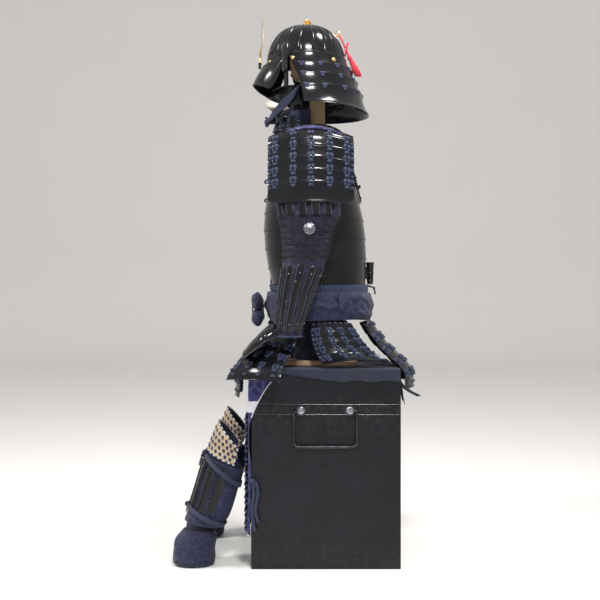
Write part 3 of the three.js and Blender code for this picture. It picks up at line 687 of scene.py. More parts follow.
def handles():
    stud, hoop, rosette = Maker(), Maker(), Maker()
    places = {}
    for which in ("rear", "front"):
        low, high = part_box(f"handle_stud_{which}_left")
        places[which] = (low[1] + high[1]) / 2 / METRE
        y = places[which]
        stud.lathe(vec(SIDE + 0.4, y, HINGE_Z), vec(1, 0, 0),
                   [(2, 0), (10, 0), (10, 2.5), (8.8, 3.6), (7.6, 4.4), (7.6, 13), (8.6, 14), (8.2, 15.6), (5.5, 16.6),
                    (2, 16.8)], 24)
        rosette.lathe(vec(SIDE + 0.35, y, HINGE_Z), vec(1, 0, 0), [(5, 0), (14.5, 0), (15, 0.9), (11, 1.7), (5, 1.8)],
                      32, petals=8, depth=0.12)
    lay_pair("handle_stud_metal", stud, STEEL, ["handle_stud_rear", "handle_stud_front"], slot="gilt")
    lay_pair("handle_rosette", rosette, IRON, slot="handle_iron")
    clear, reach, corner = HANDLE["clear"], HANDLE["reach"], HANDLE["corner"]
    rear, ahead = places["rear"] + clear + reach, places["front"] - clear - reach
    x, low = HANDLE["x"], HINGE_Z - HANDLE["drop"]

    def arm(y, way):
        turns = [vec(x, y - way * corner * (1 - math.sin(a)), low + corner * (1 - math.cos(a)))
                 for a in np.linspace(0, math.pi / 2, 8)]
        return [vec(x, y - way * reach, HINGE_Z), vec(x, y - way * 3, HINGE_Z - 0.4), vec(x, y - way * 0.7, HINGE_Z - 2.4),
                vec(x, y, HINGE_Z - 7), vec(x, y, HINGE_Z - 40), *turns[::-1]]
    path = arm(rear, 1) + [vec(x, 20, low), vec(x, 0, low), vec(x, -20, low)] + arm(ahead, -1)[::-1]
    sizes = [HANDLE["thick"] * (1 + 0.25 * bump(p[1], (rear + ahead) / 2, 40) * (p[2] < low + 2)) for p in path]
    hoop.tube(path, sizes, 12)
    for side, mirror in (("left", False), ("right", True)):
        lay(f"hoop_handle_{side}", hoop, IRON, [f"handle_{side}"], slot="handle_iron", body=f"handle_{side}",
            mirror=mirror)


storage_box()
handles()


# ------------------------------------------------------------------ helmet

BOWL = dict(half=98.0, length=110.0, middle=-52.0, base=1400.0, height=108.0, fullness=2.15)
RIBS = 18


def bowl_place(across, down):
    """Down runs from the top (0) to the rim (1)."""
    turn = mix(0.05, math.pi / 2, min(max(down, 0.0), 1.02))
    power = 2 / BOWL["fullness"]
    width = math.sin(turn) ** power
    height = max(math.cos(turn), 0.0) ** power
    out = BOWL["length"] * width
    return oval(360 * across, BOWL["half"] * width, BOWL["middle"] - out, BOWL["middle"] + out,
                BOWL["base"] + BOWL["height"] * height - 20 * max(down - 1, 0))


def helmet_bowl():
    bowl, rim = Maker(), Maker()
    shape = Surface(bowl_place)

    def ribbed(across, down):
        phase = (across * RIBS) % 1.0
        near = min(phase, 1 - phase)
        ridge = 2.6 * bump(near, 0, 0.055) + 0.9 * math.sin(math.pi * phase) - 0.4
        return ridge * min(1.0, down * 2.2)
    columns = [(i + shift) / RIBS for i in range(RIBS) for shift in (0.0, 0.04, 0.09, 0.16, 0.35, 0.65, 0.84, 0.91, 0.96)]
    bowl.slab(shape, columns, steps(0.02, 1.0, 22), 2.0, ribbed, closed=True)
    lay("bowl_plates", bowl, BLACK, ["helmet_bowl"], slot="lacquer", crease=50)
    band = Surface(lambda u, v: bowl_place(u, 0.93 + 0.075 * v))
    rim.slab(band, list(steps(0, 1, 96)[:-1]), steps(0, 1, 2), 1.4, lambda u, v: 2.4, closed=True)
    for i in range(RIBS):
        for v in (0.5,):
            p, r, b, n = band.frame((i + 0.5) / RIBS, v)
            rim.pad(p + n * 2.4, r, b, n, 4.2, 4.2, 2.0)
    lay("bowl_band", rim, BLACK, slot="lacquer")


def finial():
    petals, tiers = Maker(), Maker()
    base = vec(0, -48, BOWL["base"] + BOWL["height"] + 0.3)
    petals.lathe(base, vec(0, 0, 1), [(3, 0), (18, 0), (18, 1.4), (14, 3.6), (3, 4.2)], 64, petals=16, depth=0.14)
    tiers.lathe(base + vec(0, 0, 4), vec(0, 0, 1),
                [(3, 0), (12.5, 0), (13.5, 1.0), (11.5, 2.2), (8.5, 3.0), (10.2, 4.4), (10.2, 6.0), (7.6, 7.4), (6.4, 9.0),
                 (7.4, 10.6), (7.0, 12.6), (4.6, 13.6), (2.6, 13.8)], 40, petals=10, depth=0.08)
    lay("finial_tiers", tiers, GILT, ["helmet_finial"], slot="gilt")
    lay("finial_petals", petals, GILT, slot="gilt")


VISOR = table([(0, 44, 1338), (15, 41, 1333), (30, 33, 1322), (42, 21, 1316), (50, 13, 1346), (57, 6, 1386)],
              "out", "z")
VISOR_REACH = 57.0


def visor_place(across, down):
    degrees = mix(-VISOR_REACH, VISOR_REACH, across)
    edge = VISOR(abs(degrees))
    away = mix(2.8, edge["out"], down) + 4.0 * math.sin(math.pi * min(max(down, 0), 1))
    return oval(degrees, BOWL["half"] + away, BOWL["middle"] - BOWL["length"] - away,
                BOWL["middle"] + BOWL["length"] + away, mix(BOWL["base"], edge["z"], down))


def visor():
    plate, trim, studs = Maker(), Maker(), Maker()
    shape = Surface(visor_place)
    plate.slab(shape, steps(0.0, 1.0, 48), steps(0, 1, 10), 2.0)
    lay("visor_plate", plate, BLACK, ["helmet_visor"], slot="lacquer")
    trim.tube([shape.at(u, 1.0, -1.0) for u in steps(0.005, 0.995, 60)], 2.0, 8)
    trim.tube([shape.at(u, 0.2, 0.4) for u in steps(0.03, 0.97, 40)], 1.2, 6)
    lay("visor_rim", trim, BLACK, slot="lacquer")
    for across in (0.24, 0.5, 0.76):
        p, r, b, n = shape.frame(across, 0.1)
        studs.lathe(p + n * 0.3, n, [(1, 0), (3.6, 0), (3.4, 1.4), (2.0, 2.4), (0.8, 2.7)], 12)
    lay("visor_studs", studs, GILT, slot="gilt")


NECK = [dict(z=1400, rear=60, half=101, open=66), dict(z=1369, rear=76, half=117, open=73),
        dict(z=1338, rear=90, half=133, open=80), dict(z=1302, rear=105, half=150, open=85),
        dict(z=1246, rear=128, half=175, open=88)]
NECK_COLUMNS = (86, 109, 132, 156, 180)


def neck_surface(index):
    upper, lower = NECK[index], NECK[index + 1]
    hollow = 1.5 if index < 3 else 4.0

    def place(across, down):
        z = mix(upper["z"] + 7, lower["z"], down)
        rear = mix(upper["rear"] + 3.2, lower["rear"], down) - hollow * math.sin(math.pi * min(max(down, 0), 1))
        half = mix(upper["half"] + 3.2, lower["half"], down) - hollow * math.sin(math.pi * min(max(down, 0), 1))
        start = mix(upper["open"], lower["open"], down)
        degrees = mix(start, 360 - start, across)
        if index == 3:
            z += 9 * math.sin(math.radians(degrees)) ** 2 * down
        return oval(degrees, half, 2 * BOWL["middle"] - rear, rear, z)
    return Surface(place)


def neck_guard():
    cords, studs = Maker(), Maker()
    for index in range(4):
        shape, lame = neck_surface(index), Maker()
        rise = 2.2 if index == 3 else 1.2

        def rolled(across, down):
            return rise * max(0.0, (down - 0.86) / 0.14) ** 2 + 0.8 * max(0.0, (0.1 - down) / 0.1)
        lame.slab(shape, steps(0, 1, 84), [0, 0.05, 0.1, 0.25, 0.4, 0.55, 0.7, 0.82, 0.88, 0.94, 0.98, 1.0], 2.0, rolled)
        lay(f"neck_plate_{index + 1}", lame, BLACK, [f"neck_lame_{index + 1}"], slot="lacquer")
        start = mix(NECK[index]["open"], NECK[index + 1]["open"], 0.5)
        for degrees in sorted({*NECK_COLUMNS, *(360 - d for d in NECK_COLUMNS)}):
            across = (degrees - start) / (360 - 2 * start)
            if not 0.02 < across < 0.98:
                across = 0.03 if across < 0.5 else 0.97
            if index < 3:
                double_knot(cords, shape, across, 0.86, 17, 11, 3.6, 1.2)
            if index > 0:
                knot(cords, shape, across, 0.2 if index < 3 else 0.15, 11, 9, 3.6)
                double_knot(cords, shape, across, 0.06, 15, 8, 3.6, 0.8, 0.5)
        if index == 0:
            for degrees in (71, 130):
                for across in ((degrees - start) / (360 - 2 * start), 1 - (degrees - start) / (360 - 2 * start)):
                    p, r, b, n = shape.frame(across, 0.45)
                    studs.lathe(p + n * 0.3, n, [(1, 0), (6.2, 0), (6.6, 1.2), (5.0, 2.8), (2.6, 3.8), (0.8, 4.0)], 20)
    lay("neck_lacing", cords, LACING, slot="lacing")
    lay("neck_studs", studs, GILT, slot="gilt")


def turnbacks():
    plate, trim, studs = Maker(), Maker(), Maker()
    low, high = (np.array(corner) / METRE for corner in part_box("turnback_left"))

    def place(across, down):
        share = 1 - across
        flare = 1 + 0.12 * (1 - down)
        return vec(mix(low[0] + 1, high[0] - 1, share) * (1 + 0.02 * (flare - 1)),
                   -105 - 12 * math.sin(math.pi * share), mix(high[2], low[2], down))
    shape = Surface(place)
    plate.slab(shape, steps(0, 1, 16), steps(0, 1, 10), 2.0)
    lay_pair("turnback_plate", plate, BLACK, ["turnback"], slot="lacquer")
    edge = [shape.at(0.02, v) for v in steps(1, 0, 8)] + [shape.at(u, 0.0) for u in steps(0.05, 0.95, 12)]
    trim.tube([*edge, *[shape.at(0.98, v) for v in steps(0.02, 1, 8)]], 1.6, 6)
    lay_pair("turnback_rim", trim, BLACK, slot="lacquer")
    p, r, b, n = shape.frame(0.45, 0.5)
    studs.lathe(p + n * 0.3, n, [(2, 0), (9, 0), (9, 1), (5, 2), (2.5, 3.2), (1, 3.4)], 32, petals=8, depth=0.2)
    lay_pair("turnback_boss", studs, GILT, slot="gilt")


CREST = dict(foot=1401.0, y=-183.0, height=118.0, spread=72.0, plate=1.6, lean=math.radians(4.5))


def crest():
    """A pair of plain flat horns, the commonest old form, in a black socket on the visor."""
    horns, boss, holder = Maker(), Maker(), Maker()
    wide, tall = CREST["spread"], CREST["height"]

    def quad(a, b, c, t):
        return (1 - t) ** 2 * vec(*a) + 2 * t * (1 - t) * vec(*b) + t ** 2 * vec(*c)

    def stand(flat, out):
        x, up = flat
        lean = CREST["lean"]
        return vec(x, CREST["y"] + up * math.sin(lean) - out * math.cos(lean),
                   CREST["foot"] + up * math.cos(lean) - out * math.sin(lean))
    for side in (1, -1):
        rows = {True: [], False: []}
        for t in steps(0, 1, 18):
            outer = quad((9, 16), (wide * 0.75, tall * 0.3), (wide * 0.9, tall), t)
            inner = quad((0, 30), (wide * 0.5, tall * 0.42), (wide * 0.66, tall * 0.9), t)
            for front in (True, False):
                row = []
                for s in (0.0, 0.08, 0.5, 0.92, 1.0):
                    flat = mix(inner, outer, s) * vec(side, 1)
                    ease = 0.5 if s in (0.0, 1.0) else 0.0
                    row.append(stand(flat, (CREST["plate"] - ease + 0.5 * math.sin(math.pi * s)) if front else ease))
                rows[front].append(row)
        horns.wall(rows[True], rows[False])
    lay("crest_horns", horns, PALE_GILT, ["crest"], slot="gilt")
    boss.block((-6.5, CREST["y"] - 3.2, CREST["foot"] + 0.2), (6.5, CREST["y"] - 0.2, CREST["foot"] + 26), 0.6)
    boss.lathe(vec(0, CREST["y"] - 1.4, CREST["foot"] + 30), vec(0, -1, 0), [(2, 0), (13, 0), (13, 1.6), (8, 3), (2, 4)],
               48, petals=12, depth=0.12)
    lay("crest_boss", boss, GILT, slot="gilt")
    low, high = (np.array(corner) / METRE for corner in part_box("crest_holder"))
    holder.block(low, high, 1.2)
    lay("crest_socket", holder, BLACK, ["crest_holder"], slot="lacquer")


TASSEL = [(0, 44, 1480), (0, 54, 1462), (0, 64, 1438), (0, 71, 1422), (0, 85, 1396), (0, 104, 1357)]


def tassel():
    ring, cord, knots, strands = Maker(), Maker(), Maker(), Maker()
    top = vec(*TASSEL[0])
    torus(ring, top + vec(0, -6, 5), vec(1, 0, 0.2), 7.5, 1.5)
    ring.lathe(top + vec(0, -11, -3), vec(0, 0.75, 0.66), [(1, 0), (6, 0), (6, 1.5), (3, 3.4), (2, 6.5), (1, 7)], 20)
    lay("tassel_ring", ring, GILT, slot="gilt")
    line = smooth_path(TASSEL[:4], 24)
    cord.tube(line, [2.6 + 0.45 * math.sin(i * 2.1) for i in range(24)], 10)
    piece = lay("tassel_cord", cord, CRIMSON, ["tassel"], slot="crimson_silk")
    # a crossed bow of three loops, and the bound head of the tassel
    for angle, size in ((0, 15), (125, 14), (235, 14)):
        turn = math.radians(angle)
        middle = vec(*TASSEL[2])
        way = vec(math.sin(turn), 0.25 * math.cos(turn), math.cos(turn))
        loop = [middle + way * size * (1 - math.cos(a)) / 1.4 + vec(0, 1.5 * math.sin(2 * a), 0)
                + unit(np.cross(way, vec(0, 1, 0))) * size * 0.5 * math.sin(a) for a in np.linspace(0, TAU, 20)]
        knots.tube(loop, 2.1, 8)
    knots.lathe(vec(*TASSEL[3]), unit(vec(0, 0.45, -1)), [(2, 0), (6, 1), (7, 4), (6.4, 7), (7.4, 9), (6.6, 12), (4, 13)], 20)
    fringe_start, way = vec(0, 77, 1411), unit(vec(0, 0.49, -1))
    for i in range(120):
        turn, reach = rng.uniform(0, TAU), math.sqrt(rng.uniform(0, 1))
        out = vec(math.cos(turn), math.sin(turn), 0) * reach
        length = 50 + rng.uniform(-4, 4)
        path = [fringe_start + out * mix(5.5, 10.5, min(1, s * 1.6)) + way * length * s
                + vec(0, 0, -1.5 * s) for s in np.linspace(0, 1, 6)]
        strands.tube(path, [0.75, 0.8, 0.8, 0.8, 0.75, 0.35], 5)
    tied = lay("tassel_bow", knots, CRIMSON, slot="crimson_silk")
    fringe = lay("tassel_fringe", strands, CRIMSON, slot="crimson_silk")
    path = [tuple(p * METRE) for p in line]
    length = float(np.linalg.norm(np.diff(line, axis=0), axis=1).sum()) * METRE


helmet_bowl()
finial()
visor()
neck_guard()
turnbacks()
crest()
tassel()


# ------------------------------------------------------------------ mask and throat

FACE = dict(middle=-75.0, reach=100.0, bridge=12.0)
MASK = table([(1322, -138, 67, 8), (1308, -141, 70, 14), (1298, -142, 71, 18), (1289, -142, 70, 8), (1275, -140, 67, 3),
              (1258, -141, 58, 3), (1244, -137, 44, 2)], "front", "half", "nose")
MASK_TOP, MASK_CHIN = 1322.0, 1244.0


def mask_place(across, down):
    z = mix(MASK_TOP, MASK_CHIN, down)
    row = MASK(z)
    degrees = mix(-FACE["reach"], FACE["reach"], across)
    skin = oval(degrees, row["half"], row["front"], 2 * FACE["middle"] - row["front"], z)
    skin[1] -= row["nose"] * math.exp(-((degrees / FACE["bridge"]) ** 2))
    return skin


def mask():
    """A calm, plain half face: cheeks, nose and chin worked in iron, with an open mouth."""
    plate, lips, trim, hair = Maker(), Maker(), Maker(), Maker()
    shape = Surface(mask_place)

    def form(across, down):
        a, z = abs(mix(-FACE["reach"], FACE["reach"], across)), mix(MASK_TOP, MASK_CHIN, down)
        cheek = 5.0 * bump(a, 42, 16) * bump(z, 1297, 14)
        fold = -2.6 * bump(a, 24 + (1300 - z) * 0.35, 4) * bump(z, 1286, 16)
        nostril = 3.0 * bump(a, 11, 5) * bump(z, 1293, 5)
        mouth = -5.0 * bump(z, 1268, 5.0) * bump(a, 0, 25)
        lip = 2.6 * (bump(z, 1275, 3.2) + bump(z, 1260.5, 3.4)) * bump(a, 0, 26)
        chin = 5.0 * bump(a, 0, 22) * bump(z, 1250, 7)
        return cheek + fold + nostril + mouth + lip + chin
    plate.slab(shape, steps(0, 1, 96), steps(0, 1, 40), 2.0, form)
    lay("mask_plate", plate, BLACK, ["mask"], slot="lacquer", crease=60)
    edge = [shape.at(u, 0.0, 0.6) for u in steps(0.0, 1.0, 60)]
    trim.tube(edge, 1.6, 6)
    trim.tube([shape.at(u, 1.0, -0.6) for u in steps(0.0, 1.0, 50)], 1.6, 6)
    for way in (0.12, 0.88):
        p, r, b, n = shape.frame(way, 0.62)
        trim.tube([p + n * 0.5, p + n * 9, p + n * 11 - b * 4], 1.5, 6)
    lay("mask_rim", trim, BLACK, slot="lacquer")
    inner = Surface(lambda u, v: mask_place(mix(0.36, 0.64, u), mix(0.655, 0.735, v)))
    lips.slab(inner, steps(0, 1, 20), steps(0, 1, 6), 1.0, lambda u, v: -2.2 + 1.2 * abs(2 * v - 1), soft=0.4)
    lay("mask_mouth", lips, MOUTH, slot="lacquer")
    # The moustache: a roll of hair over the upper lip that falls at the corners
    route = smooth_path([(62, -99, 1258), (42, -131, 1268), (20, -150, 1279), (0, -158, 1284), (-20, -150, 1279),
                         (-42, -131, 1268), (-62, -99, 1258)], 60)
    for i in range(260):
        side = -1 if i % 2 else 1
        root = rng.uniform(0.02, 0.62)
        reach = min(root + rng.uniform(0.25, 0.42), 1.0)
        turn, spread = rng.uniform(0, TAU), math.sqrt(rng.uniform(0.1, 1))
        path = []
        for s in np.linspace(root, reach, 7):
            place = route[int(round((0.5 + side * s * 0.5) * (len(route) - 1)))]
            girth = 11.0 * math.sin(math.pi * min(0.5 + s * 0.5, 0.97)) ** 0.45 * spread
            out = unit(vec(place[0], place[1] - FACE["middle"], 0))
            path.append(place + out * (0.75 * girth * math.cos(turn) + 4.0) + vec(0, 0, girth * 0.9 * math.sin(turn))
                        - vec(0, 0, 2.0 * s))
        path = smooth_path(path, 9)
        hair.tube(path, [0.9, 1.3, 1.5, 1.5, 1.5, 1.4, 1.2, 0.9, 0.4], 5)
    lay("moustache_hair", hair, HAIR, ["moustache"], slot="hair")


def throat():
    plates, cords, cloth = Maker(), Maker(), Maker()
    top, bottom, count = 1240.0, 1200.0, 3

    def place_of(plate):
        def place(across, down):
            share = (plate + down) / count
            out = mix(2.5, 0.0, down)
            half = mix(50, 54, share) + out
            front = mix(-134, -146, share) - out
            return oval(mix(-98, 98, across), half, front, 2 * FACE["middle"] - front, mix(top, bottom, share))
        return place
    for plate in range(count):
        shape = Surface(place_of(plate))
        plates.slab(shape, steps(0, 1, 48), [0, 0.1, 0.4, 0.8, 0.95, 1.0], 1.6,
                    lambda u, v: 0.6 * max(0, v - 0.8) / 0.2)
        for i in range(9):
            across = (i + 0.5) / 9
            double_knot(cords, shape, across, 0.88, 12, 6.5, 3.0, 0.6)
            knot(cords, shape, across, 0.3, 8, 6, 2.6)
    lay("throat_plates", plates, BLACK, ["throat_guard"], slot="lacquer")
    lay("throat_lacing", cords, LACING, slot="lacing")
    # a navy neck cloth stands inside the plates and shows over them
    def inside(across, down):
        z = mix(1262, 1196, down)
        ripple = 1.6 * math.sin(across * 46) * (0.4 + 0.6 * down)
        half = mix(60, 47, down ** 0.6) + ripple
        front = mix(-126, -128, down) + ripple * 0.4
        return oval(mix(-128, 128, across), half, front, 2 * FACE["middle"] - front + 6, z)
    cloth.slab(Surface(inside), steps(0, 1, 90), steps(0, 1, 12), 1.6)
    piece = lay("neck_cloth", cloth, CORD, slot="navy_cloth", crease=60)


def chin_cord():
    """Four strands from inside the helmet's rim run round the cheeks to a knot under the chin."""
    strands, bow = Maker(), Maker()
    for i in range(4):
        shift = (i - 1.5)
        route = [(97 - 1.5 * i, -72 - 3 * shift, 1318 - 5 * i), (92 - i, -94 - 2 * shift, 1296 - 8 * i),
                 (78, -118, 1276 - 7.5 * i), (58, -138 - abs(shift), 1256 - 5.5 * i), (30, -154, 1240 - 2.6 * i),
                 (8, -160, 1232 - 1.2 * i)]
        path = smooth_path(route, 44)
        for side in (1, -1):
            strands.tube([p * vec(side, 1, 1) for p in path], 3.4, 8, flat=0.85)
    piece = lay("chin_strands", strands, CORD, ["chin_cord"], slot="navy_cloth")
    centre = vec(0, -163, 1229)
    for turn, size in ((40, 13), (140, 13), (215, 10), (325, 10)):
        way = vec(math.cos(math.radians(turn)), -0.1, math.sin(math.radians(turn)))
        cross = unit(np.cross(way, vec(0, 1, 0)))
        loop = [centre + way * size * (1 - math.cos(a)) * 0.62 + cross * size * 0.5 * math.sin(a)
                + vec(0, 2.5 * math.sin(2 * a), 0) for a in np.linspace(0, TAU, 22)]
        bow.tube(loop, 3.6, 8)
    bow.pad(centre + vec(0, -1, 0), vec(1, 0, 0), vec(0, 0, -1), vec(0, -1, 0), 17, 19, 9, 4, 14)
    knot_piece = lay("chin_knot", bow, CORD, slot="navy_cloth")
    return piece, knot_piece


# ------------------------------------------------------------------ cuirass

CUIRASS = table([(1140, -112, 62, 112, 40, 46), (1112, -126, 70, 118, 46, 52), (1060, -150, 84, 137, 53, 58),
                 (1005, -165, 98, 152, 70, 72), (985, -168, 103, 154, 89.5, 89.5), (941, -172, 112, 156, 89.5, 89.5),
                 (870, -169, 119, 153, 89.5, 89.5), (793, -156, 119, 146, 89.5, 89.5),
                 (739, -142, 117, 139, 89.5, 89.5)], "front", "rear", "half", "ahead", "behind")
ROUND = 0.9
FRONT_EDGES = (1112, 1062, 1011, 960, 909, 857.5, 803, 739)
BACK_EDGES = (1140, 1096, 1042, 990, 938, 885.5, 831, 778.5, 739)


def reach_at(z, column):
    """How far round a half comes: whole below the armholes, then drawn in smoothly."""
    if z <= 985:
        return 89.5
    return min(CUIRASS(z)[column], 89.5)


def cuirass_half(name, towards, edges, column, nodes):
    plates, trim, rivets = Maker(), Maker(), Maker()
    top, bottom = edges[0], edges[-1]

    def place(across, down):
        z = mix(top, bottom, down)
        row = CUIRASS(z)
        reach = reach_at(z, column)
        neck = 0.0
        if z > 1060:
            neck = 16 * ((z - 1060) / (top - 1060)) ** 2 * (1 - (2 * across - 1) ** 2)
        return oval(towards + mix(-reach, reach, across), row["half"], row["front"], row["rear"], z - neck, ROUND)
    shape = Surface(place)
    heights = []
    for upper, lower in zip(edges, edges[1:]):
        for share, out in ((0.0, -0.2), (0.04, -0.15), (0.3, 0.2), (0.6, 0.6), (0.88, 1.1), (0.95, 1.6), (0.985, 1.3)):
            heights.append(((top - mix(upper, lower, share)) / (top - bottom), out))
    heights.append((1.0, 0.6))
    lookup = dict(heights)
    plates.slab(shape, steps(0, 1, 88), [h for h, _ in heights], 2.0, lambda u, v: lookup.get(v, 0.0))
    lay(name, plates, BLACK_DEEP, nodes, slot="lacquer")
    border = [shape.at(u, 0.0, 0.8) for u in steps(0, 1, 30)]
    trim.tube(border, 2.6, 8)
    arm_end = (top - 985) / (top - bottom)
    for u in (0.0, 1.0):
        trim.tube([shape.at(u, v, 0.6) for v in steps(0.0, arm_end, 26)], 2.4, 8)
    lay(name + "_rim", trim, BLACK, slot="lacquer")
    for z in edges[1:-1]:
        v = (top - z) / (top - bottom) - 0.012
        for u in steps(0.04, 0.96, 16):
            p, r, b, n = shape.frame(u, v)
            rivets.pad(p + n * 1.4, r, b, n, 3.4, 3.4, 1.9)
    lay(name + "_rivets", rivets, BLACK, slot="lacquer")
    return shape


def cuirass():
    front = cuirass_half("breast_plates", 0, FRONT_EDGES, "ahead", ["cuirass_front"])
    back = cuirass_half("back_plates", 180, BACK_EDGES, "behind", ["cuirass_back"])
    ties, hinges, rings = Maker(), Maker(), Maker()
    # cords close the right side, hinges join the left
    for z in (965, 905, 845, 785):
        row = CUIRASS(z)
        for side in (1, -1):
            centre = oval(90 * side, row["half"], row["front"], row["rear"], z, ROUND) + vec(1.4 * side, 0, 0)
            ahead, below, out = vec(0, 1, 0), vec(0, 0, -1), vec(side, 0, 0)
            ties.pad(centre, ahead, below, out, 24, 9, 4.5, 3, 12)
            ties.pad(centre + out * 2, ahead, below, out, 10, 13, 5, 3, 12)
            hinges.block(centre - vec(0.6, 17, 6) + vec(0, 0, 0), centre + vec(0.6, 17, 6), 0.5)
    lay("side_ties", ties, LACING, slot="lacing")
    lay("side_plates", hinges, BLACK, slot="lacquer")
    # small gilt rings on the breast and the back, each over a gilt rosette
    for shape, places in ((front, ((0.3, 0.2), (0.7, 0.2))), (back, ((0.5, 0.22),))):
        for u, v in places:
            p, r, b, n = shape.frame(u, v)
            rings.lathe(p + n * 0.6, n, [(2, 0), (11, 0), (11, 1), (6, 2.2), (3, 3.4), (1, 3.6)], 32, petals=8, depth=0.16)
            torus(rings, p + n * 5.2 + b * 9, n + b * 0.2, 9, 1.6)
    lay("breast_rings", rings, GILT, slot="gilt")
    bar = Maker()
    p, r, b, n = front.frame(0.5, 0.905)
    bar.block(p - vec(3.2, 3.4, 17), p + vec(3.2, 1.0, 17), 1.0)
    lay("breast_bar", bar, BLACK, slot="lacquer")


def straps():
    band, trim, buckle = Maker(), Maker(), Maker()
    ridge = smooth_path([(0, 72, 1147), (0, 60, 1170), (0, 20, 1199), (0, -40, 1206), (0, -100, 1188), (0, -116, 1124)], 41)

    def place(across, down):
        s = min(max(down, 0.0), 1.0) * 40
        i = min(int(s), 39)
        p = mix(ridge[i], ridge[i + 1], s - i)
        x = mix(114, 71, across)
        return vec(x, p[1], p[2] - 0.12 * (x - 71))
    shape = Surface(place)
    # seen from above the strap runs forward, so its outer side is on the left of its route
    band.slab(shape, steps(0, 1, 10), steps(0.0, 1.0, 40), 4.0, lambda u, v: 1.6 * math.sin(math.pi * u) ** 0.5 - 0.6)
    lay_pair("strap_pad", band, SASH_SILK, ["shoulder_strap"], slot="navy_cloth")
    for u in (0.0, 1.0):
        trim.tube([shape.at(u, v, -1.6) for v in steps(0.01, 0.99, 50)], 2.6, 8)
    for v in steps(0.18, 0.86, 5):
        trim.tube([shape.at(u, v, 0.9) for u in steps(0, 1, 10)], 1.6, 6)
    lay_pair("strap_edging", trim, BLACK, slot="lacquer")
    for v in (0.12, 0.9):
        p, r, b, n = shape.frame(0.5, v)
        buckle.tube([p + n * 2 - r * 14 + b * 8, p + n * 4 - r * 14, p + n * 4 + r * 14, p + n * 2 + r * 14 + b * 8], 2.2, 8)
        buckle.pad(p + n * 2.5, r, b, n, 15, 20, 7, 3, 12)
    lay_pair("strap_toggle", buckle, CORD, slot="lacing")


COLLAR = table([(1198, -122, 34, 66), (1184, -116, 26, 64), (1169, -114, 24, 62)], "front", "rear", "half")


def collar():
    pad, trim = Maker(), Maker()

    def place(across, down):
        z = mix(1198, 1169, down)
        row = COLLAR(z)
        return oval(mix(35, 325, across), row["half"], row["front"], row["rear"], z)
    shape = Surface(place)

    def quilt(across, down):
        return 1.2 * abs(math.sin(across * 50)) * math.sin(math.pi * down) ** 0.5 - 0.4
    pad.slab(shape, steps(0, 1, 120), steps(0, 1, 8), 3.6, quilt)
    piece = lay("collar_pad", pad, SASH_SILK, ["collar"], slot="navy_cloth", crease=60)
    trim.tube([shape.at(u, 0.0, -1.8) for u in steps(0, 1, 80)], 2.4, 8)
    lay("collar_edging", trim, BLACK, slot="lacquer")


def banner_fittings():
    plate, cup, cord = Maker(), Maker(), Maker()
    tilt = math.radians(13.5)
    up = vec(0, -math.sin(tilt), math.cos(tilt))
    base = vec(0, 103.5, 996)
    out = unit(vec(0, math.cos(tilt), math.sin(tilt)))

    def place(across, down):
        x = mix(24, -24, across)
        taper = 1 - 0.12 * bump(down, 0.5, 0.25)
        return base + up * mix(88, 0, down) + out * 5 + vec(x * taper, 0, 0)
    plate.slab(Surface(place), steps(0, 1, 12), steps(0, 1, 12), 4.6, lambda u, v: 0.5 * math.sin(math.pi * u) - 0.5)
    for z in (14, 74):
        for x in (-15, 15):
            plate.pad(base + up * z + out * 4.6 + vec(x, 0, 0), vec(1, 0, 0), -up, out, 7, 7, 3.4)
    # the loop that takes the pole
    centre = base + up * 46 + out * 9
    plate.block(centre - vec(15, 5, 5), centre + vec(15, 3, 5), 1.2)
    lay("banner_bracket", plate, BLACK, ["banner_plate"], slot="lacquer")
    cup.lathe(vec(0, 132.5, 763), vec(0, 0, 1),
              [(1, 0), (7.4, 0), (8.6, 1.6), (9.2, 10), (10.9, 58), (11.9, 60), (12.1, 62.4), (11.2, 63.6), (9.8, 63.2),
               (9.3, 58), (6.8, 4), (1, 3.4)], 32)
    for z in (12, 34):
        torus(cup, vec(0, 132.5, 763 + z), vec(0, 0, 1), 9.4 + z * 0.03, 1.2, 28)
    cup.block((-7, 118.5, 778), (7, 124.5, 812), 1.2)
    lay("banner_socket", cup, BLACK, ["banner_cup"], slot="lacquer")
    torus(cord, vec(0, 132.5, 757), vec(0.1, 0.3, 1), 8.5, 2.2)
    cord.pad(vec(0, 142.5, 752), vec(1, 0, 0), vec(0, 0, -1), vec(0, 1, 0), 12, 10, 6)
    for x in (-4, 4):
        cord.tube(smooth_path([(x, 142, 752), (x * 1.5, 146, 744), (x * 1.2, 147, 734)], 10), 2.0, 8)
    lay("socket_cord", cord, CORD, slot="lacing")


# ------------------------------------------------------------------ shoulder guards

SHOULDER = table([(1178, 197, 20), (1170, 213, 19), (1156, 224, 18), (1127, 231, 15), (1095, 236, 13), (1062, 239, 11),
                  (1030, 241, 9), (979, 243, 7)], "x", "droop")
SHOULDER_EDGES = (1156, 1127, 1095, 1062, 1030, 979)
SHOULDER_PLAN = dict(front=-155.0, rear=74.0, curve=22.0)
SODE_COLUMNS = (0.085, 0.295, 0.50, 0.715, 0.915)


def shoulder_surface(top, bottom):
    def place(across, down):
        z = mix(top, bottom, down)
        row = SHOULDER(z)
        side = 2 * across - 1
        rise = 10 * max(0.0, abs(side) - 0.82) / 0.18 * max(0.0, (1000 - z) / 21)
        return vec(row["x"] - SHOULDER_PLAN["curve"] * side * side, mix(SHOULDER_PLAN["front"], SHOULDER_PLAN["rear"], across),
                   z - row["droop"] * side * side + rise)
    return Surface(place)


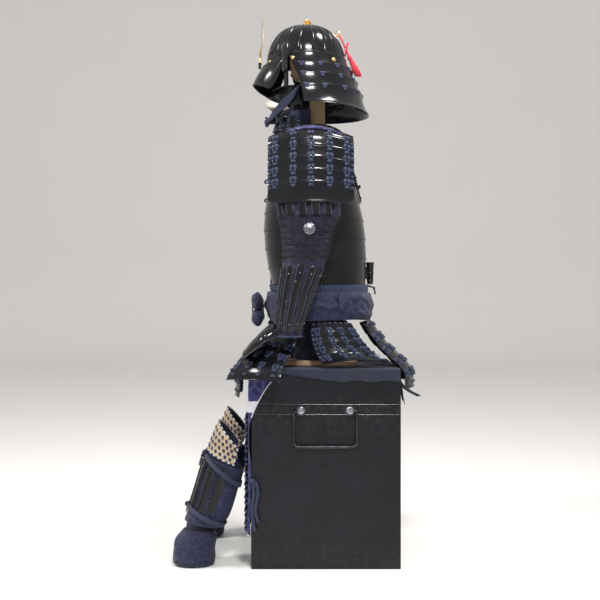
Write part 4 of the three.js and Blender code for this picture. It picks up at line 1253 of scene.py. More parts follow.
def shoulder_guard():
    plates, lacing, trim, ties = Maker(), Maker(), Maker(), Maker()
    across = steps(0, 1, 44)
    crown = shoulder_surface(1178, SHOULDER_EDGES[0] - 2)
    plates.slab(crown, across, steps(0, 1, 8), 2.0, lambda u, v: 0.0)
    for upper, lower in zip(SHOULDER_EDGES, SHOULDER_EDGES[1:]):
        shape = shoulder_surface(upper + 2, lower)
        hollow = 1.2

        def form(u, v):
            lip = 1.4 * max(0.0, (v - 0.86) / 0.14) ** 1.5
            return 1.6 - hollow * math.sin(math.pi * v) + lip
        plates.slab(shape, across, [0, 0.04, 0.15, 0.35, 0.55, 0.75, 0.87, 0.94, 0.98, 1.0], 2.0, form)
        fall = upper - lower
        for u in SODE_COLUMNS:
            # single knot under the joint, and a pair of cords above the next one
            knot(lacing, shape, u, 9.5 / fall, 14, 10, 5.0, 1.2)
            if lower > 1000:
                double_knot(lacing, shape, u, 1 - 9 / fall, 21, 14, 5.0, 1.2)
                for side in (-1, 1):
                    knot(lacing, shape, u + side * 5 / 229, 0.99, 8, 8, 4.5, 1.8)
        for u in (0.022, 0.978):
            knot(lacing, shape, u, 9.5 / fall, 10, 8, 4.5, 1.0)
            if lower > 1000:
                knot(lacing, shape, u, 1 - 9 / fall, 12, 12, 4.5, 1.2)
    for u in SODE_COLUMNS:
        double_knot(lacing, crown, u, 0.62, 19, 12, 4.5, 0.8)
        if u in (SODE_COLUMNS[1], SODE_COLUMNS[3]):
            for side in (-1, 1):
                p, r, b, n = crown.frame(u, 0.5)
                lacing.tube([p + n * 3, p + n * 4 - b * 9 + r * side * 5, p + n * 2 - b * 20 + r * side * 9], 2.4, 8)
    lay_pair("sode_plates", plates, BLACK, ["shoulder_guard"], slot="lacquer")
    lay_pair("sode_lacing", lacing, LACING, slot="lacing")
    # rounded edges of the top plate and the end cords
    trim.tube([crown.at(u, 0.0, -0.8) for u in steps(0.0, 1.0, 40)], 2.4, 8)
    low = shoulder_surface(1030, 979)
    trim.tube([low.at(u, 1.0, 1.2) for u in steps(0.0, 1.0, 40)], 1.8, 8)
    lay_pair("sode_edging", trim, BLACK, slot="lacquer")
    for z in (1043, 982):
        shape = shoulder_surface(z + 10, z)
        p = shape.at(0.0, 1.0)
        ties.tube(smooth_path([p + vec(2, 2, 4), p + vec(0, -4, 3), p + vec(-3, -8, -2), p + vec(-6, -3, -5)], 12), 2.2, 8)
        ties.pad(p + vec(0, -4, 0), vec(1, 0, 0), vec(0, 0, -1), vec(0, -1, 0), 9, 9, 6)
    lay_pair("sode_tie", ties, CORD, slot="lacing")
    # the padded tab that hangs the guard from the shoulder strap
    tab = Maker()

    def tab_place(across, down):
        y = mix(-112, 46, across)
        x = mix(112, 200, down)
        arch = 30 * ((y + 38) / 84) ** 2
        return vec(x, y, mix(1196, 1180, down ** 1.3) - arch * (1 - 0.35 * down) + 3 * math.sin(math.pi * down))
    tab.slab(Surface(tab_place), steps(0, 1, 24), steps(0, 1, 12), 4.5,
             lambda u, v: 1.2 * math.sin(math.pi * v) + 0.8 * abs(math.sin(u * 22)))
    pads = lay_pair("sode_pad", tab, APRON_SILK, slot="brocade")


mask()
throat()
chin_cord()
cuirass()
straps()
collar()
banner_fittings()
shoulder_guard()


# ------------------------------------------------------------------ waist and sash

WAIST = table([(760, -157, 126, 149), (738, -152, 125, 147), (664, -147, 127, 145)], "front", "rear", "half")
WAIST_RIBS = 100


def waist_lacing():
    """The skirts hang on close-set upright cords whose tops make a row of points."""
    ribs, low = Maker(), Maker()

    def place(across, down):
        phase = (across * WAIST_RIBS) % 1.0
        tooth = 6.0 * (1 - abs(2 * phase - 1)) * (1 - down) ** 3
        z = mix(756, 666, down) + tooth
        row = WAIST(z)
        return oval(360 * across, row["half"], row["front"], row["rear"], z, ROUND)
    shape = Surface(lambda u, v: oval(360 * u, *[WAIST(mix(756, 666, v))[k] for k in ("half", "front", "rear")],
                                      mix(756, 666, v), ROUND))
    columns = [(i + part) / WAIST_RIBS for i in range(WAIST_RIBS) for part in (0.0, 0.2, 0.5, 0.8)]
    outer, inner = [], []
    for v in steps(0, 1, 10):
        outer.append([])
        inner.append([])
        for u in columns:
            phase = (u * WAIST_RIBS) % 1.0
            ridge = 1.6 * math.sin(math.pi * phase) ** 0.6 if phase else 0.0
            point = place(u, v)
            normal = shape.frame(u, v)[3]
            outer[-1].append(point + normal * (ridge - 0.6))
            inner[-1].append(point - normal * 2.0)
    ribs.wall(outer, inner, closed=True)
    lay("waist_cords", ribs, LACING, ["waist_lacing"], slot="lacing", crease=60)
    for z in (724,):
        row = WAIST(z)
        ring = [oval(d, row["half"] + 1.6, row["front"] - 1.6, row["rear"] + 1.6, z, ROUND) for d in steps(0, 360, 120)]
        low.tube(ring, 1.8, 6)
    lay("waist_band", low, CORD, slot="lacing")


SASH = table([(741, -161, 130, 152), (738, -162, 131, 153), (718, -168, 139, 158), (688, -166, 137, 156),
              (664, -156, 132, 151), (660, -154, 131, 150)], "front", "rear", "half")


def crease(across, down, seed=0.0):
    """Long slanting wrinkles of a wound cloth."""
    a = across * TAU
    value = 1.5 * math.sin(7 * a + 9 * down + seed) * math.sin(3.1 * a - 2 + seed)
    value += 1.7 * math.sin(4 * a - 13 * down + 1.3 + seed) + 1.1 * math.sin(13 * a + 17 * down + 2 * seed)
    value += 0.8 * math.sin(23 * a - 21 * down + seed)
    return value


def sash():
    band, flap, tie = Maker(), Maker(), Maker()

    def place(across, down):
        a = across * TAU
        z = mix(740, 661, down) + 2.6 * math.sin(3 * a + 1) * (1 - down) - 3.2 * math.sin(2 * a + 0.4) * down
        row = SASH(z)
        return oval(360 * across, row["half"], row["front"], row["rear"], z, ROUND)

    def wrinkled(across, down):
        a = across * TAU
        turns = 1.8 * abs(math.sin(math.pi * (down * 3.2 + 0.12 * math.sin(2 * a)))) ** 0.5
        return turns + crease(across, down) * 0.85 * math.sin(math.pi * min(max(down, 0.04), 0.96)) ** 0.3
    band.slab(Surface(place), list(steps(0, 1, 260)[:-1]), steps(0, 1, 30), 3.0, wrinkled, closed=True)
    wound = lay("sash_band", band, SASH_SILK, ["sash"], slot="brocade", crease=70)
    # a turned-out corner of the cloth on each side
    def corner(across, down):
        height = mix(737, 690, down)
        width = 34 * (1 - abs(down - 0.12)) + 4
        y = mix(28 + 10 * down, 28 + 10 * down + width, across) + 6 * (1 - down)
        row = SASH(height)
        turn = (y - (row["front"] + row["rear"]) / 2) / ((row["rear"] - row["front"]) / 2)
        x = row["half"] * (1 - abs(turn) ** 2.2) ** (1 / 2.2) + 4.5 + 2.5 * math.sin(math.pi * across) + 3 * down
        return vec(x, y, height + 8 * across * (1 - down))
    flap.slab(Surface(corner), steps(0, 1, 14), steps(0, 1, 14), 2.0, lambda u, v: 1.2 * math.sin(5 * u + 4 * v))
    lay_pair("sash_corner", flap, SASH_SILK, slot="brocade", crease=70)


def sash_knot():
    roll, wrap, ends = Maker(), Maker(), Maker()
    centre, half, deep, tall = vec(18, -190, 692), 62.0, 19.0, 49.0

    def lobe(maker, middle, wide, thick, high, seed, tilt):
        rows = []
        for turn in np.linspace(0.06, math.pi - 0.06, 30):
            row = []
            for a in np.linspace(0, TAU, 36, endpoint=False):
                girth = math.sin(turn) ** 0.55 * (1 - 0.34 * bump(turn, math.pi / 2, 0.33))
                ruffle = 1 + 0.05 * math.sin(5 * a + 6 * turn + seed) + 0.05 * math.sin(9 * turn + 2 * a - seed)
                x = -wide * math.cos(turn)
                row.append(middle + vec(x, thick * girth * math.cos(a) * ruffle,
                                        high * girth * math.sin(a) * ruffle + tilt * x))
            rows.append(row)
        base = maker.grid(rows, closed=True)
        maker.faces.append(tuple(range(base, base + 36)))
        end = base + 29 * 36
        maker.faces.append(tuple(range(end + 35, end - 1, -1)))
    lobe(roll, centre + vec(0, -1, 21), half * 0.94, deep * 0.95, 26, 0.3, 0.10)
    lobe(roll, centre + vec(-2, 0, -22), half * 0.9, deep, 25, 2.1, -0.08)
    piece = lay("sash_bow", roll, SASH_SILK, ["sash_knot"], slot="brocade", crease=70)
    rows = []
    for x in steps(-15, 15, 10):
        shape = 1 + 0.06 * math.cos(x / 15 * math.pi)
        rows.append([centre + vec(x, 0, 0) + vec(0.8 * math.sin(3 * a), (deep * 0.86 + 0.6 * math.sin(4 * x)) * shape
                                                 * math.cos(a), tall * 0.78 * shape * math.sin(a))
                     for a in np.linspace(0, TAU, 40, endpoint=False)])
    inner = [[centre + vec(p[0] - centre[0], (p[1] - centre[1]) * 0.9, (p[2] - centre[2]) * 0.9) for p in row] for row in rows]
    wrap.wall(rows, inner, closed=True)
    band = lay("sash_wrap", wrap, SASH_SILK, slot="brocade", crease=70)


# ------------------------------------------------------------------ skirts

SKIRTS = dict(
    front=dict(facing=0, half=(50, 76), sag=16, columns=5,
               route=[(0, -152, 658), (0, -192, 600), (0, -230, 556), (0, -248, 528), (0, -256, 446)]),
    front_side=dict(facing=62, half=(48, 84), sag=16, columns=4,
                    route=[(100, -112, 658), (144, -144, 606), (192, -178, 562), (219, -197, 530), (226, -202, 508)]),
    side=dict(facing=97, half=(56, 92), sag=15, columns=4, route=[(150, 18, 658), (162, 34, 612), (172, 56, 580), (200, 88, 558)]),
    rear=dict(facing=167, half=(56, 76), sag=14, columns=4,
              route=[(70, 132, 656), (84, 174, 598), (92, 218, 556), (94, 242, 526), (96, 247, 478)]),
)
LAMES = 5


def skirt_surface(panel):
    path = smooth_path(panel["route"], 121)
    facing = math.radians(panel["facing"])
    across_way = vec(math.cos(facing), math.sin(facing), 0)
    tangents = np.gradient(path, axis=0)
    outs = np.array([unit(np.cross(unit(t), across_way)) for t in tangents])

    def place(across, down):
        s = min(max(down, -0.02), 1.02) * 120
        i = int(min(max(s, 0), 119))
        point = mix(path[i], path[i + 1], s - i)
        out = mix(outs[i], outs[i + 1], min(max(s - i, 0), 1))
        side = 2 * across - 1
        half = mix(panel["half"][0], panel["half"][1], down)
        return point + across_way * side * half - out * panel["sag"] * side * side
    length = float(np.linalg.norm(np.diff(path, axis=0), axis=1).sum())
    return Surface(place), length


def skirt(name, panel):
    plates, knots = Maker(), Maker()
    shape, length = skirt_surface(panel)
    fall = length / LAMES
    columns = panel["columns"]
    for lame in range(LAMES):
        top, bottom = lame / LAMES, (lame + 1) / LAMES
        last = lame == LAMES - 1

        def form(u, v):
            share = (v - top) / (bottom - top)
            return 2.2 * (1 - share) - 0.9 * math.sin(math.pi * share) + 1.2 * max(0.0, (share - 0.88) / 0.12)
        rows = [mix(top, bottom, s) for s in (-0.03 if lame else 0.0, 0.03, 0.12, 0.3, 0.5, 0.7, 0.86, 0.93, 0.98, 1.0)]
        plates.slab(shape, steps(0.0, 1.0, 26), rows, 2.0, form)
        for c in range(columns):
            u = (c + 0.5) / columns
            if lame > 0:
                knot(knots, shape, u, top + 8 / length, 13, 9, 4.4, 2.4)
                for side in (-1, 1):
                    knot(knots, shape, u + side * 0.028, top + 1.5 / length, 8, 7, 4.2, 2.4)
            if not last:
                double_knot(knots, shape, u, bottom - 8 / length, 20, 13, 4.6, 1.0)
        for u in (0.03, 0.97):
            if not last:
                knot(knots, shape, u, bottom - 8 / length, 10, 12, 4.2, 1.0)
            if lame > 0:
                knot(knots, shape, u, top + 8 / length, 9, 8, 4.2, 2.2)
    # the decorative crossed stitches along the lowest plate
    for c in range(columns):
        u = (c + 0.5) / columns
        knot(knots, shape, u, 1 - 16 / length, 12, 8, 3.6, 0.4)
    # upright cords from the waist to the first plate
    for c in range(columns * 2):
        u = (c + 0.5) / (columns * 2)
        p0, p1, p2 = shape.at(u, 0.0, 2.5), shape.at(u, 0.02, 3.2), shape.at(u, 0.045, 3.4)
        knots.tube([p0, p1, p2], 2.4, 8)
    return plates, knots


def skirts():
    for name, panel in SKIRTS.items():
        plates, knots = skirt(name, panel)
        if name == "front":
            lay("skirt_front_plates", plates, BLACK, ["skirt_front"], slot="lacquer")
            lay("skirt_front_lacing", knots, LACING, slot="lacing")
        else:
            lay_pair(f"skirt_{name}_plates", plates, BLACK, [f"skirt_{name}"], slot="lacquer")
            lay_pair(f"skirt_{name}_lacing", knots, LACING, slot="lacing")


# ------------------------------------------------------------------ sleeves and hands

SLEEVE = table([(1108, -45, 56, 176, 34), (1060, -46, 64, 188, 37), (1000, -48, 78, 196, 38), (968, -48, 87, 199, 38.5),
                (942, -46, 84, 201, 39), (905, -50, 70, 204, 40), (850, -54, 62, 207, 41), (800, -62, 56, 208, 40),
                (746, -76, 49, 207, 37), (690, -88, 42, 203, 34), (640, -97, 36, 198, 31), (618, -101, 36, 195, 31)],
               "y", "deep", "x", "wide")
SLEEVE_TOP, SLEEVE_END = 1108.0, 618.0


def sleeve_place(across, down, out=0.0):
    z = mix(SLEEVE_TOP, SLEEVE_END, down)
    row = SLEEVE(z)
    return oval(360 * across, row["wide"] + out, row["y"] - row["deep"] - out, row["y"] + row["deep"] + out, z) + vec(
        row["x"], 0, 0)


def down_at(z):
    return (SLEEVE_TOP - z) / (SLEEVE_TOP - SLEEVE_END)


def sleeve():
    cloth, mail, splints, edging, boss = Maker(), Maker(), Maker(), Maker(), Maker()
    shape = Surface(sleeve_place)

    def folds(across, down):
        z, a = mix(SLEEVE_TOP, SLEEVE_END, down), TAU * across
        full = 1 / (1 + math.exp((930 - z) / 16))
        drape = full * (2.2 * math.sin(7 * a + 0.6 * math.sin(z / 30)) + 1.2 * math.sin(13 * a + z / 22))
        slim = (1 - full) * (0.8 * math.sin(5 * a + z / 19) * math.sin(z / 27 + 2 * a))
        pinch = -1.5 * bump(z, 932, 8)
        return drape + slim + pinch - 1.6
    heights = sorted({*steps(0, 1, 60), *[down_at(z) for z in (945, 940, 936, 932, 928, 924, 920)]})
    cloth.slab(shape, list(steps(0, 1, 110)[:-1]), heights, 1.8, folds, closed=True)
    pieces = lay_pair("sleeve_cloth", cloth, BROCADE, ["sleeve"], slot="brocade", crease=70)
    # mail over the elbow: interlinked rings in rows
    pitch = 8.2
    for r in range(15):
        z = 940 - r * pitch
        if z < 824:
            break
        v = down_at(z)
        around = 46
        for c in range(around):
            u = (c + 0.5 * (r % 2)) / around
            p, right, below, n = shape.frame(u, v)
            flatways = r % 2
            axis = n if not flatways else unit(n * 0.55 + below * 0.84)
            torus(mail, p + n * (1.4 if not flatways else 1.8), axis, 3.5, 0.72, 8, 4)
    lay_pair("elbow_mail", mail, IRON, slot="handle_iron", crease=80)
    # splints down the outside of the forearm and the upper arm
    def splint(u, z_top, z_bottom, wide, lift=3.4):
        def place(s, t):
            z = mix(z_top, z_bottom, t)
            row = SLEEVE(z)
            girth = math.pi * (3 * (row["wide"] + row["deep"]) - math.sqrt(
                (3 * row["wide"] + row["deep"]) * (row["wide"] + 3 * row["deep"])))
            taper = 1 - 0.25 * t if z_top < 900 else 1.0
            return sleeve_place(u + (s - 0.5) * wide * taper / girth, down_at(z), 0.0)
        plate = Surface(place)
        splints.slab(plate, steps(0, 1, 8), [0, 0.008, 0.04, *steps(0.1, 0.9, 14), 0.96, 0.992, 1.0], 1.8,
                     lambda s, t: lift + 2.2 * math.sin(math.pi * min(max(s, 0), 1)) ** 0.7
                     - 1.6 * max(0.0, abs(2 * t - 1) - 0.97) / 0.03)
        for s in (0.02, 0.98):
            edging.tube([plate.at(s, t, lift + 0.1) for t in steps(0.01, 0.99, 16)], 0.6, 6)
        return plate
    middle = 0.25
    for i, shift in enumerate((-0.185, -0.1, -0.015, 0.07, 0.155)):
        plate = splint(middle + shift, 812 - 4 * abs(i - 2), 634 + 3 * abs(i - 2), 17)
        for t in (0.12, 0.88):
            p, r, b, n = plate.frame(0.5, t)
            boss.pad(p + n * 5.4, r, b, n, 4.6, 4.6, 2.4)
    for shift in (-0.16, -0.095, -0.03, 0.035, 0.1):
        splint(middle + shift, 992, 944, 15, 3.8)
    lay_pair("arm_splints", splints, BLACK, slot="lacquer")
    lay_pair("splint_edges", edging, SILVER, slot="handle_iron")
    p, r, b, n = shape.frame(0.262, down_at(906))
    boss.lathe(p + n * 2.0, n, [(2, 0), (16, 0), (16.4, 1.2), (13, 3.6), (7, 5.2), (4.5, 5.4), (4.5, 7.2), (1, 7.8)], 48,
               petals=12, depth=0.12)
    for u, z in ((0.25, 768), (0.2, 716)):
        p, r, b, n = shape.frame(u - 0.03, down_at(z))
        boss.pad(p + n * 4.6, r, b, n, 7, 7, 4)
    lay_pair("sleeve_studs", boss, SILVER, slot="handle_iron")
    # cords lace the sleeve shut on the inner side of the arm
    cord = Maker()
    for i in range(12):
        z = 1000 - 30 * i
        for way in (-1, 1):
            a, b2 = shape.at(0.75 - 0.02 * way, down_at(z), 1.2), shape.at(0.75 + 0.02 * way, down_at(z - 24), 1.2)
            cord.tube([a, mix(a, b2, 0.5) + vec(-1.6, 0, 0), b2], 1.5, 6)
    hem = [shape.at(u, down_at(622), 0.8) for u in steps(0, 1, 48)]
    cord.tube(hem, 2.6, 8)
    lay_pair("sleeve_cord", cord, LACING, slot="lacing")


HAND = table([(-140, 196, 652, 35, 30), (-160, 194, 642, 44, 30), (-184, 191, 622, 47, 28), (-206, 187, 598, 42, 22),
              (-222, 184, 578, 26, 14)], "x", "z", "wide", "tall")


def hand_guard():
    plate, fingers, trim, cloth = Maker(), Maker(), Maker(), Maker()

    def place(across, down):
        y = mix(-140, -222, down)
        row = HAND(y)
        side = 2 * across - 1
        # seen along the hand, across runs from the inner side to the outer one
        return vec(row["x"] - row["wide"] * math.sin(side * math.pi / 2), y,
                   row["z"] - row["tall"] * (1 - math.cos(side * math.pi / 2)))
    shape = Surface(lambda u, v: place(1 - u, 1 - v))

    def form(across, down):
        knuckles = 1.6 * bump(down, 0.42, 0.07) * (0.6 + 0.4 * math.cos(8 * math.pi * across))
        return knuckles + 1.0 * bump(down, 0.72, 0.03) + 0.8 * bump(down, 0.12, 0.03) - 0.4
    plate.slab(shape, steps(0, 1, 36), steps(0, 1, 36), 2.0, form)
    lay_pair("hand_plate", plate, BLACK, ["hand_guard"], slot="lacquer", crease=60)
    rim = [shape.at(0.0, v) for v in steps(1, 0, 20)] + [shape.at(u, 0.0) for u in steps(0.03, 0.97, 24)] + \
          [shape.at(1.0, v) for v in steps(0, 1, 20)]
    trim.tube(rim, 1.5, 6)
    for i in range(5):
        u = 0.2 + 0.15 * i
        p, r, b, n = shape.frame(u, 0.3)
        torus(trim, p + n * 1.6, n, 4.6, 1.1, 16, 6)
        p, r, b, n = shape.frame(u, 0.56)
        torus(trim, p + n * 1.4, n, 3.6, 0.9, 16, 6)
    lay_pair("hand_rings", trim, SILVER, slot="handle_iron")
    for i in range(4):
        u = 0.14 + 0.24 * i
        cloth.tube(smooth_path([shape.at(u, 0.98, 2.0), shape.at(u + 0.03, 0.9, 2.6), shape.at(u, 0.8, 2.0)], 10), 2.0, 8)
    lay_pair("hand_cords", cloth, HEM_CORD, slot="lacing")


waist_lacing()
sash()
sash_knot()
skirts()
sleeve()
hand_guard()


# ------------------------------------------------------------------ apron and thigh plates

APRON = table([(522, 4, 74), (490, 5, 48), (452, 6, 26), (408, 6, 6), (250, 6, 4), (92, 8, 2)], "out", "wrap")
THIGH = dict(top=408.0, bottom=94.0, rows=9, inner=14.0, outer=192.0, y=-214.0)


def apron_place(across, down):
    z = mix(522, 92, down)
    row = APRON(z)
    front, corner, radius = -SIDE - row["out"] - 2, SIDE + 4.0, 4.0
    wide = corner - radius - 5
    quarter = radius * math.pi / 2
    total = wide + quarter + row["wrap"]
    s = across * total
    if s <= wide:
        return vec(5 + s, front, z)
    if s <= wide + quarter:
        a = (s - wide) / radius
        return vec(corner - radius + radius * math.sin(a), front + radius * (1 - math.cos(a)), z)
    return vec(corner, front + radius + s - wide - quarter, z)


def apron():
    cloth, edging, patch, plates, knots, ties = Maker(), Maker(), Maker(), Maker(), Maker(), Maker()
    shape = Surface(apron_place)

    def ripple(across, down):
        return 0.9 * math.sin(9 * down + 5 * across) * math.sin(7 * across) + 0.35 * math.sin(40 * across + 9 * down)
    cloth.slab(shape, [*steps(0.0, 0.66, 22), *steps(0.68, 1.0, 22)], steps(0.0, 1.0, 60), 1.8, ripple)
    made = lay_pair("apron_cloth", cloth, APRON_SILK, ["thigh_cloth"], slot="brocade", crease=70)
    for sheet in made:
        round(sheet_area(shape, 60), 4)
    edge = [shape.at(1.0, v, 0.4 + ripple(1.0, v)) for v in steps(0.0, 1.0, 70)]
    edging.tube(edge[:20], 1.5, 8)
    binding = Maker()
    binding.tube(edge[19:], 1.3, 8)
    lay_pair("apron_binding", binding, CORD, slot="navy_cloth")
    edging.tube([shape.at(u, 0.0, ripple(u, 0.0) - 0.4) for u in steps(0.0, 1.0, 70)], 1.7, 8)
    edging.tube([shape.at(u, 1.0, ripple(u, 1.0) - 0.4) for u in steps(0.0, 1.0, 70)], 1.7, 8)
    edging.tube([shape.at(0.0, v, ripple(0.0, v) - 0.4) for v in steps(0.0, 1.0, 60)], 1.7, 8)
    trims = lay_pair("apron_edging", edging, SILVER_SILK, slot="brocade")
    # a panel covers the corner over the plates: stencilled leather on the armour, made here in the pale silver silk
    panel = Surface(lambda u, v: apron_place(mix(0.86, 1.0, u), mix(0.17, 0.24, v)))
    patch.slab(panel, steps(0, 1, 20), steps(0, 1, 10), 1.4, lambda u, v: 2.2 + 0.4 * math.sin(9 * u + 3 * v))
    patches = lay_pair("apron_panel", patch, SILVER_SILK, slot="brocade")
    # the plates, stitched on in rows, and their knots
    for row in range(THIGH["rows"]):
        top = mix(THIGH["top"], THIGH["bottom"], row / THIGH["rows"])
        bottom = mix(THIGH["top"], THIGH["bottom"], (row + 1) / THIGH["rows"])
        for c in range(6):
            x0 = mix(THIGH["inner"], THIGH["outer"], c / 6) + 0.8
            x1 = mix(THIGH["inner"], THIGH["outer"], (c + 1) / 6) - 0.8

            def place(u, v, x0=x0, x1=x1, top=top, bottom=bottom):
                return vec(mix(x0, x1, u), THIGH["y"] - 2.4 * (1 - v) - 0.2, mix(top + 2, bottom, v))
            shape_c = Surface(place)
            plates.slab(shape_c, steps(0, 1, 6), [0, 0.06, 0.25, 0.5, 0.75, 0.92, 1.0], 1.9,
                        lambda u, v: 1.0 * math.sin(math.pi * min(max(u, 0), 1)) ** 0.7)
            knot(knots, shape_c, 0.5, 0.34, 11, 9, 4.2, 1.0)
            double_knot(knots, shape_c, 0.5, 0.72, 13, 10, 4.0, 1.0)
        for z in (mix(top, bottom, 0.3), mix(top, bottom, 0.7)):
            knots.pad(vec(THIGH["outer"] + 3, THIGH["y"] + 1, z), vec(0, 1, 0), vec(0, 0, -1), vec(1, 0, 0), 9, 9, 5)
    # mail squares join the rows at the edges
    for z in np.arange(THIGH["bottom"] + 6, THIGH["top"] - 4, 8.0):
        for x in (8.5,):
            torus(plates, vec(x, THIGH["y"] + 0.6, z), vec(0, 1, 0.4), 3.2, 0.8, 10, 5)
    lay_pair("thigh_plate_rows", plates, BLACK, ["thigh_plates"], slot="lacquer", crease=50)
    lay_pair("thigh_lacing", knots, LACING, slot="lacing")
    # the tie that closes the apron behind the knee, with two hanging tails
    route = [(194, -209, 236), (203, -214, 240), (207, -206, 238), (208, -196, 232), (208, -190, 220)]
    ties.tube(smooth_path(route, 24), 3.4, 8, flat=0.5)
    for shift, end in ((0, 104), (9, 128)):
        tail = smooth_path([(209, -196 + shift, 236), (210.5, -192 + shift * 1.2, 205), (209.5, -197 + shift, 160),
                            (210, -190 + shift, end)], 30)
        ties.tube(tail, [4.2 + 0.5 * math.sin(i * 0.9) for i in range(30)], 8, flat=0.4)
    ties.pad(vec(208, -197, 237), vec(0, 1, 0), vec(0, 0, -1), vec(1, 0, 0), 18, 14, 8, 3, 12)
    lay_pair("apron_tie", ties, CORD, slot="navy_cloth")
    return made, trims, patches


# ------------------------------------------------------------------ cloth over the lid

SEAT = dict(front=-128.0, rear=198.0, drop=36.0, short=12.0, start=40.0)


def seat_cloth():
    cloth = Maker()
    edge, top = SIDE + 3.0, TOP + 2.3

    def drop_at(y):
        if y > SEAT["start"]:
            return SEAT["drop"] - 5 * math.sin((y - SEAT["start"]) / 26) ** 2
        return mix(SEAT["short"], SEAT["drop"], (y - SEAT["front"]) / (SEAT["start"] - SEAT["front"]))

    def place(across, down):
        y = mix(SEAT["rear"], SEAT["front"], 1 - down)
        drop = drop_at(y)
        flat, bend = edge - 4, 6.3
        s = (across - 0.5) * 2 * (flat + bend + drop - 4)
        way = 1 if s > 0 else -1
        s = abs(s)
        if s <= flat:
            return vec(way * s, y, top)
        if s <= flat + bend:
            a = (s - flat) / bend * math.pi / 2
            return vec(way * (flat + 4 * math.sin(a)), y, top - 4 * (1 - math.cos(a)))
        return vec(way * edge, y, top - 4 - (s - flat - bend))
    # down runs from the front to the rear here, so that the face is above
    shape = Surface(lambda u, v: place(u, 1 - v))

    def ripple(across, down):
        fold = 0.5 * math.sin(across * 31) * math.sin(down * 17) + 0.4 * math.sin(across * 11 + down * 29)
        hang = max(0.0, abs(2 * across - 1) - 0.93) / 0.07
        return abs(fold) * 0.9 + hang * 1.8 * (1 + math.sin(down * 40 + 2 * across)) / 2
    cloth.slab(shape, [*steps(0, 0.09, 12), *steps(0.11, 0.89, 40), *steps(0.91, 1.0, 12)], steps(0, 1, 70), 1.8, ripple)
    piece = lay("seat_cloth_sheet", cloth, SEAT_CLOTH, ["seat_cloth"], slot="navy_cloth", crease=70)
    area = sheet_area(shape, 60)
    return piece


def sheet_area(shape, count):
    """The area of a surface in square metres."""
    grid = np.array([[shape.place(u, v) for u in np.linspace(0, 1, 2 * count)] for v in np.linspace(0, 1, count)]) * METRE
    a = grid[1:, :-1] - grid[:-1, :-1]
    b = grid[:-1, 1:] - grid[:-1, :-1]
    return float(np.linalg.norm(np.cross(a, b), axis=2).sum())


TAIL = table([(520, 120, 60, 205), (486, 126, 62, 212), (466, 118, 70, 236), (452, 100, 84, 264)], "near", "far", "y")


def cloth_tail():
    """A corner of the seat cloth, twisted to a point behind the box, and a second short flap."""
    tail, flap = Maker(), Maker()

    def place(across, down):
        z = mix(520, 452, down)
        row = TAIL(z)
        x = mix(row["near"], row["far"], across)
        return vec(x, row["y"] + 3 * math.sin(4.5 * across + 2 * down) * (0.4 + down), z + 2 * math.sin(6 * across) * down)
    shape = Surface(place)
    tail.slab(shape, steps(0, 1, 24), steps(0, 1, 24), 1.8, lambda u, v: 0.8 * math.sin(14 * u))
    piece = lay("tail_spike", tail, SEAT_CLOTH, ["cloth_tail"], slot="navy_cloth", crease=70)
    round(sheet_area(shape, 40), 5)

    def second(across, down):
        z = mix(500, 438, down)
        return vec(mix(196, 148, across), 204 + 7 * down ** 2 + 2.4 * math.sin(7 * across) * down,
                   z + 16 * across * down)
    lower = Surface(second)
    flap.slab(lower, steps(0, 1, 20), steps(0, 1, 20), 1.8, lambda u, v: 0.5 * math.sin(11 * u + 3 * v))
    piece = lay("tail_flap", flap, SEAT_CLOTH, slot="navy_cloth", crease=70)
    round(sheet_area(lower, 40), 5)


# ------------------------------------------------------------------ legs

SHIN_X = 150.0
WRAP = [(-318, 312, -224, 258, 57), (-336, 268, -234, 220, 57), (-350, 222, -246, 176, 54), (-366, 172, -262, 134, 51),
        (-384, 124, -284, 102, 47)]
KNEE = [(-290, 392, -216, 300, 64, 118), (-306, 352, -222, 290, 63, 122), (-321, 316, -226, 268, 60, 126)]


def leaning(rows):
    """An oval leg seen from the side, between its front and rear lines; read by angle and share down."""
    line = table([(i / (len(rows) - 1), *row) for i, row in enumerate(rows)],
                 *("fy", "fz", "ry", "rz", "half", "reach")[:len(rows[0])])

    def place(degrees, down):
        row = line(down)
        share = (1 - math.cos(math.radians(degrees))) / 2
        return vec(SHIN_X + row["half"] * math.sin(math.radians(degrees)), mix(row["fy"], row["ry"], share),
                   mix(row["fz"], row["rz"], share))
    return place, line


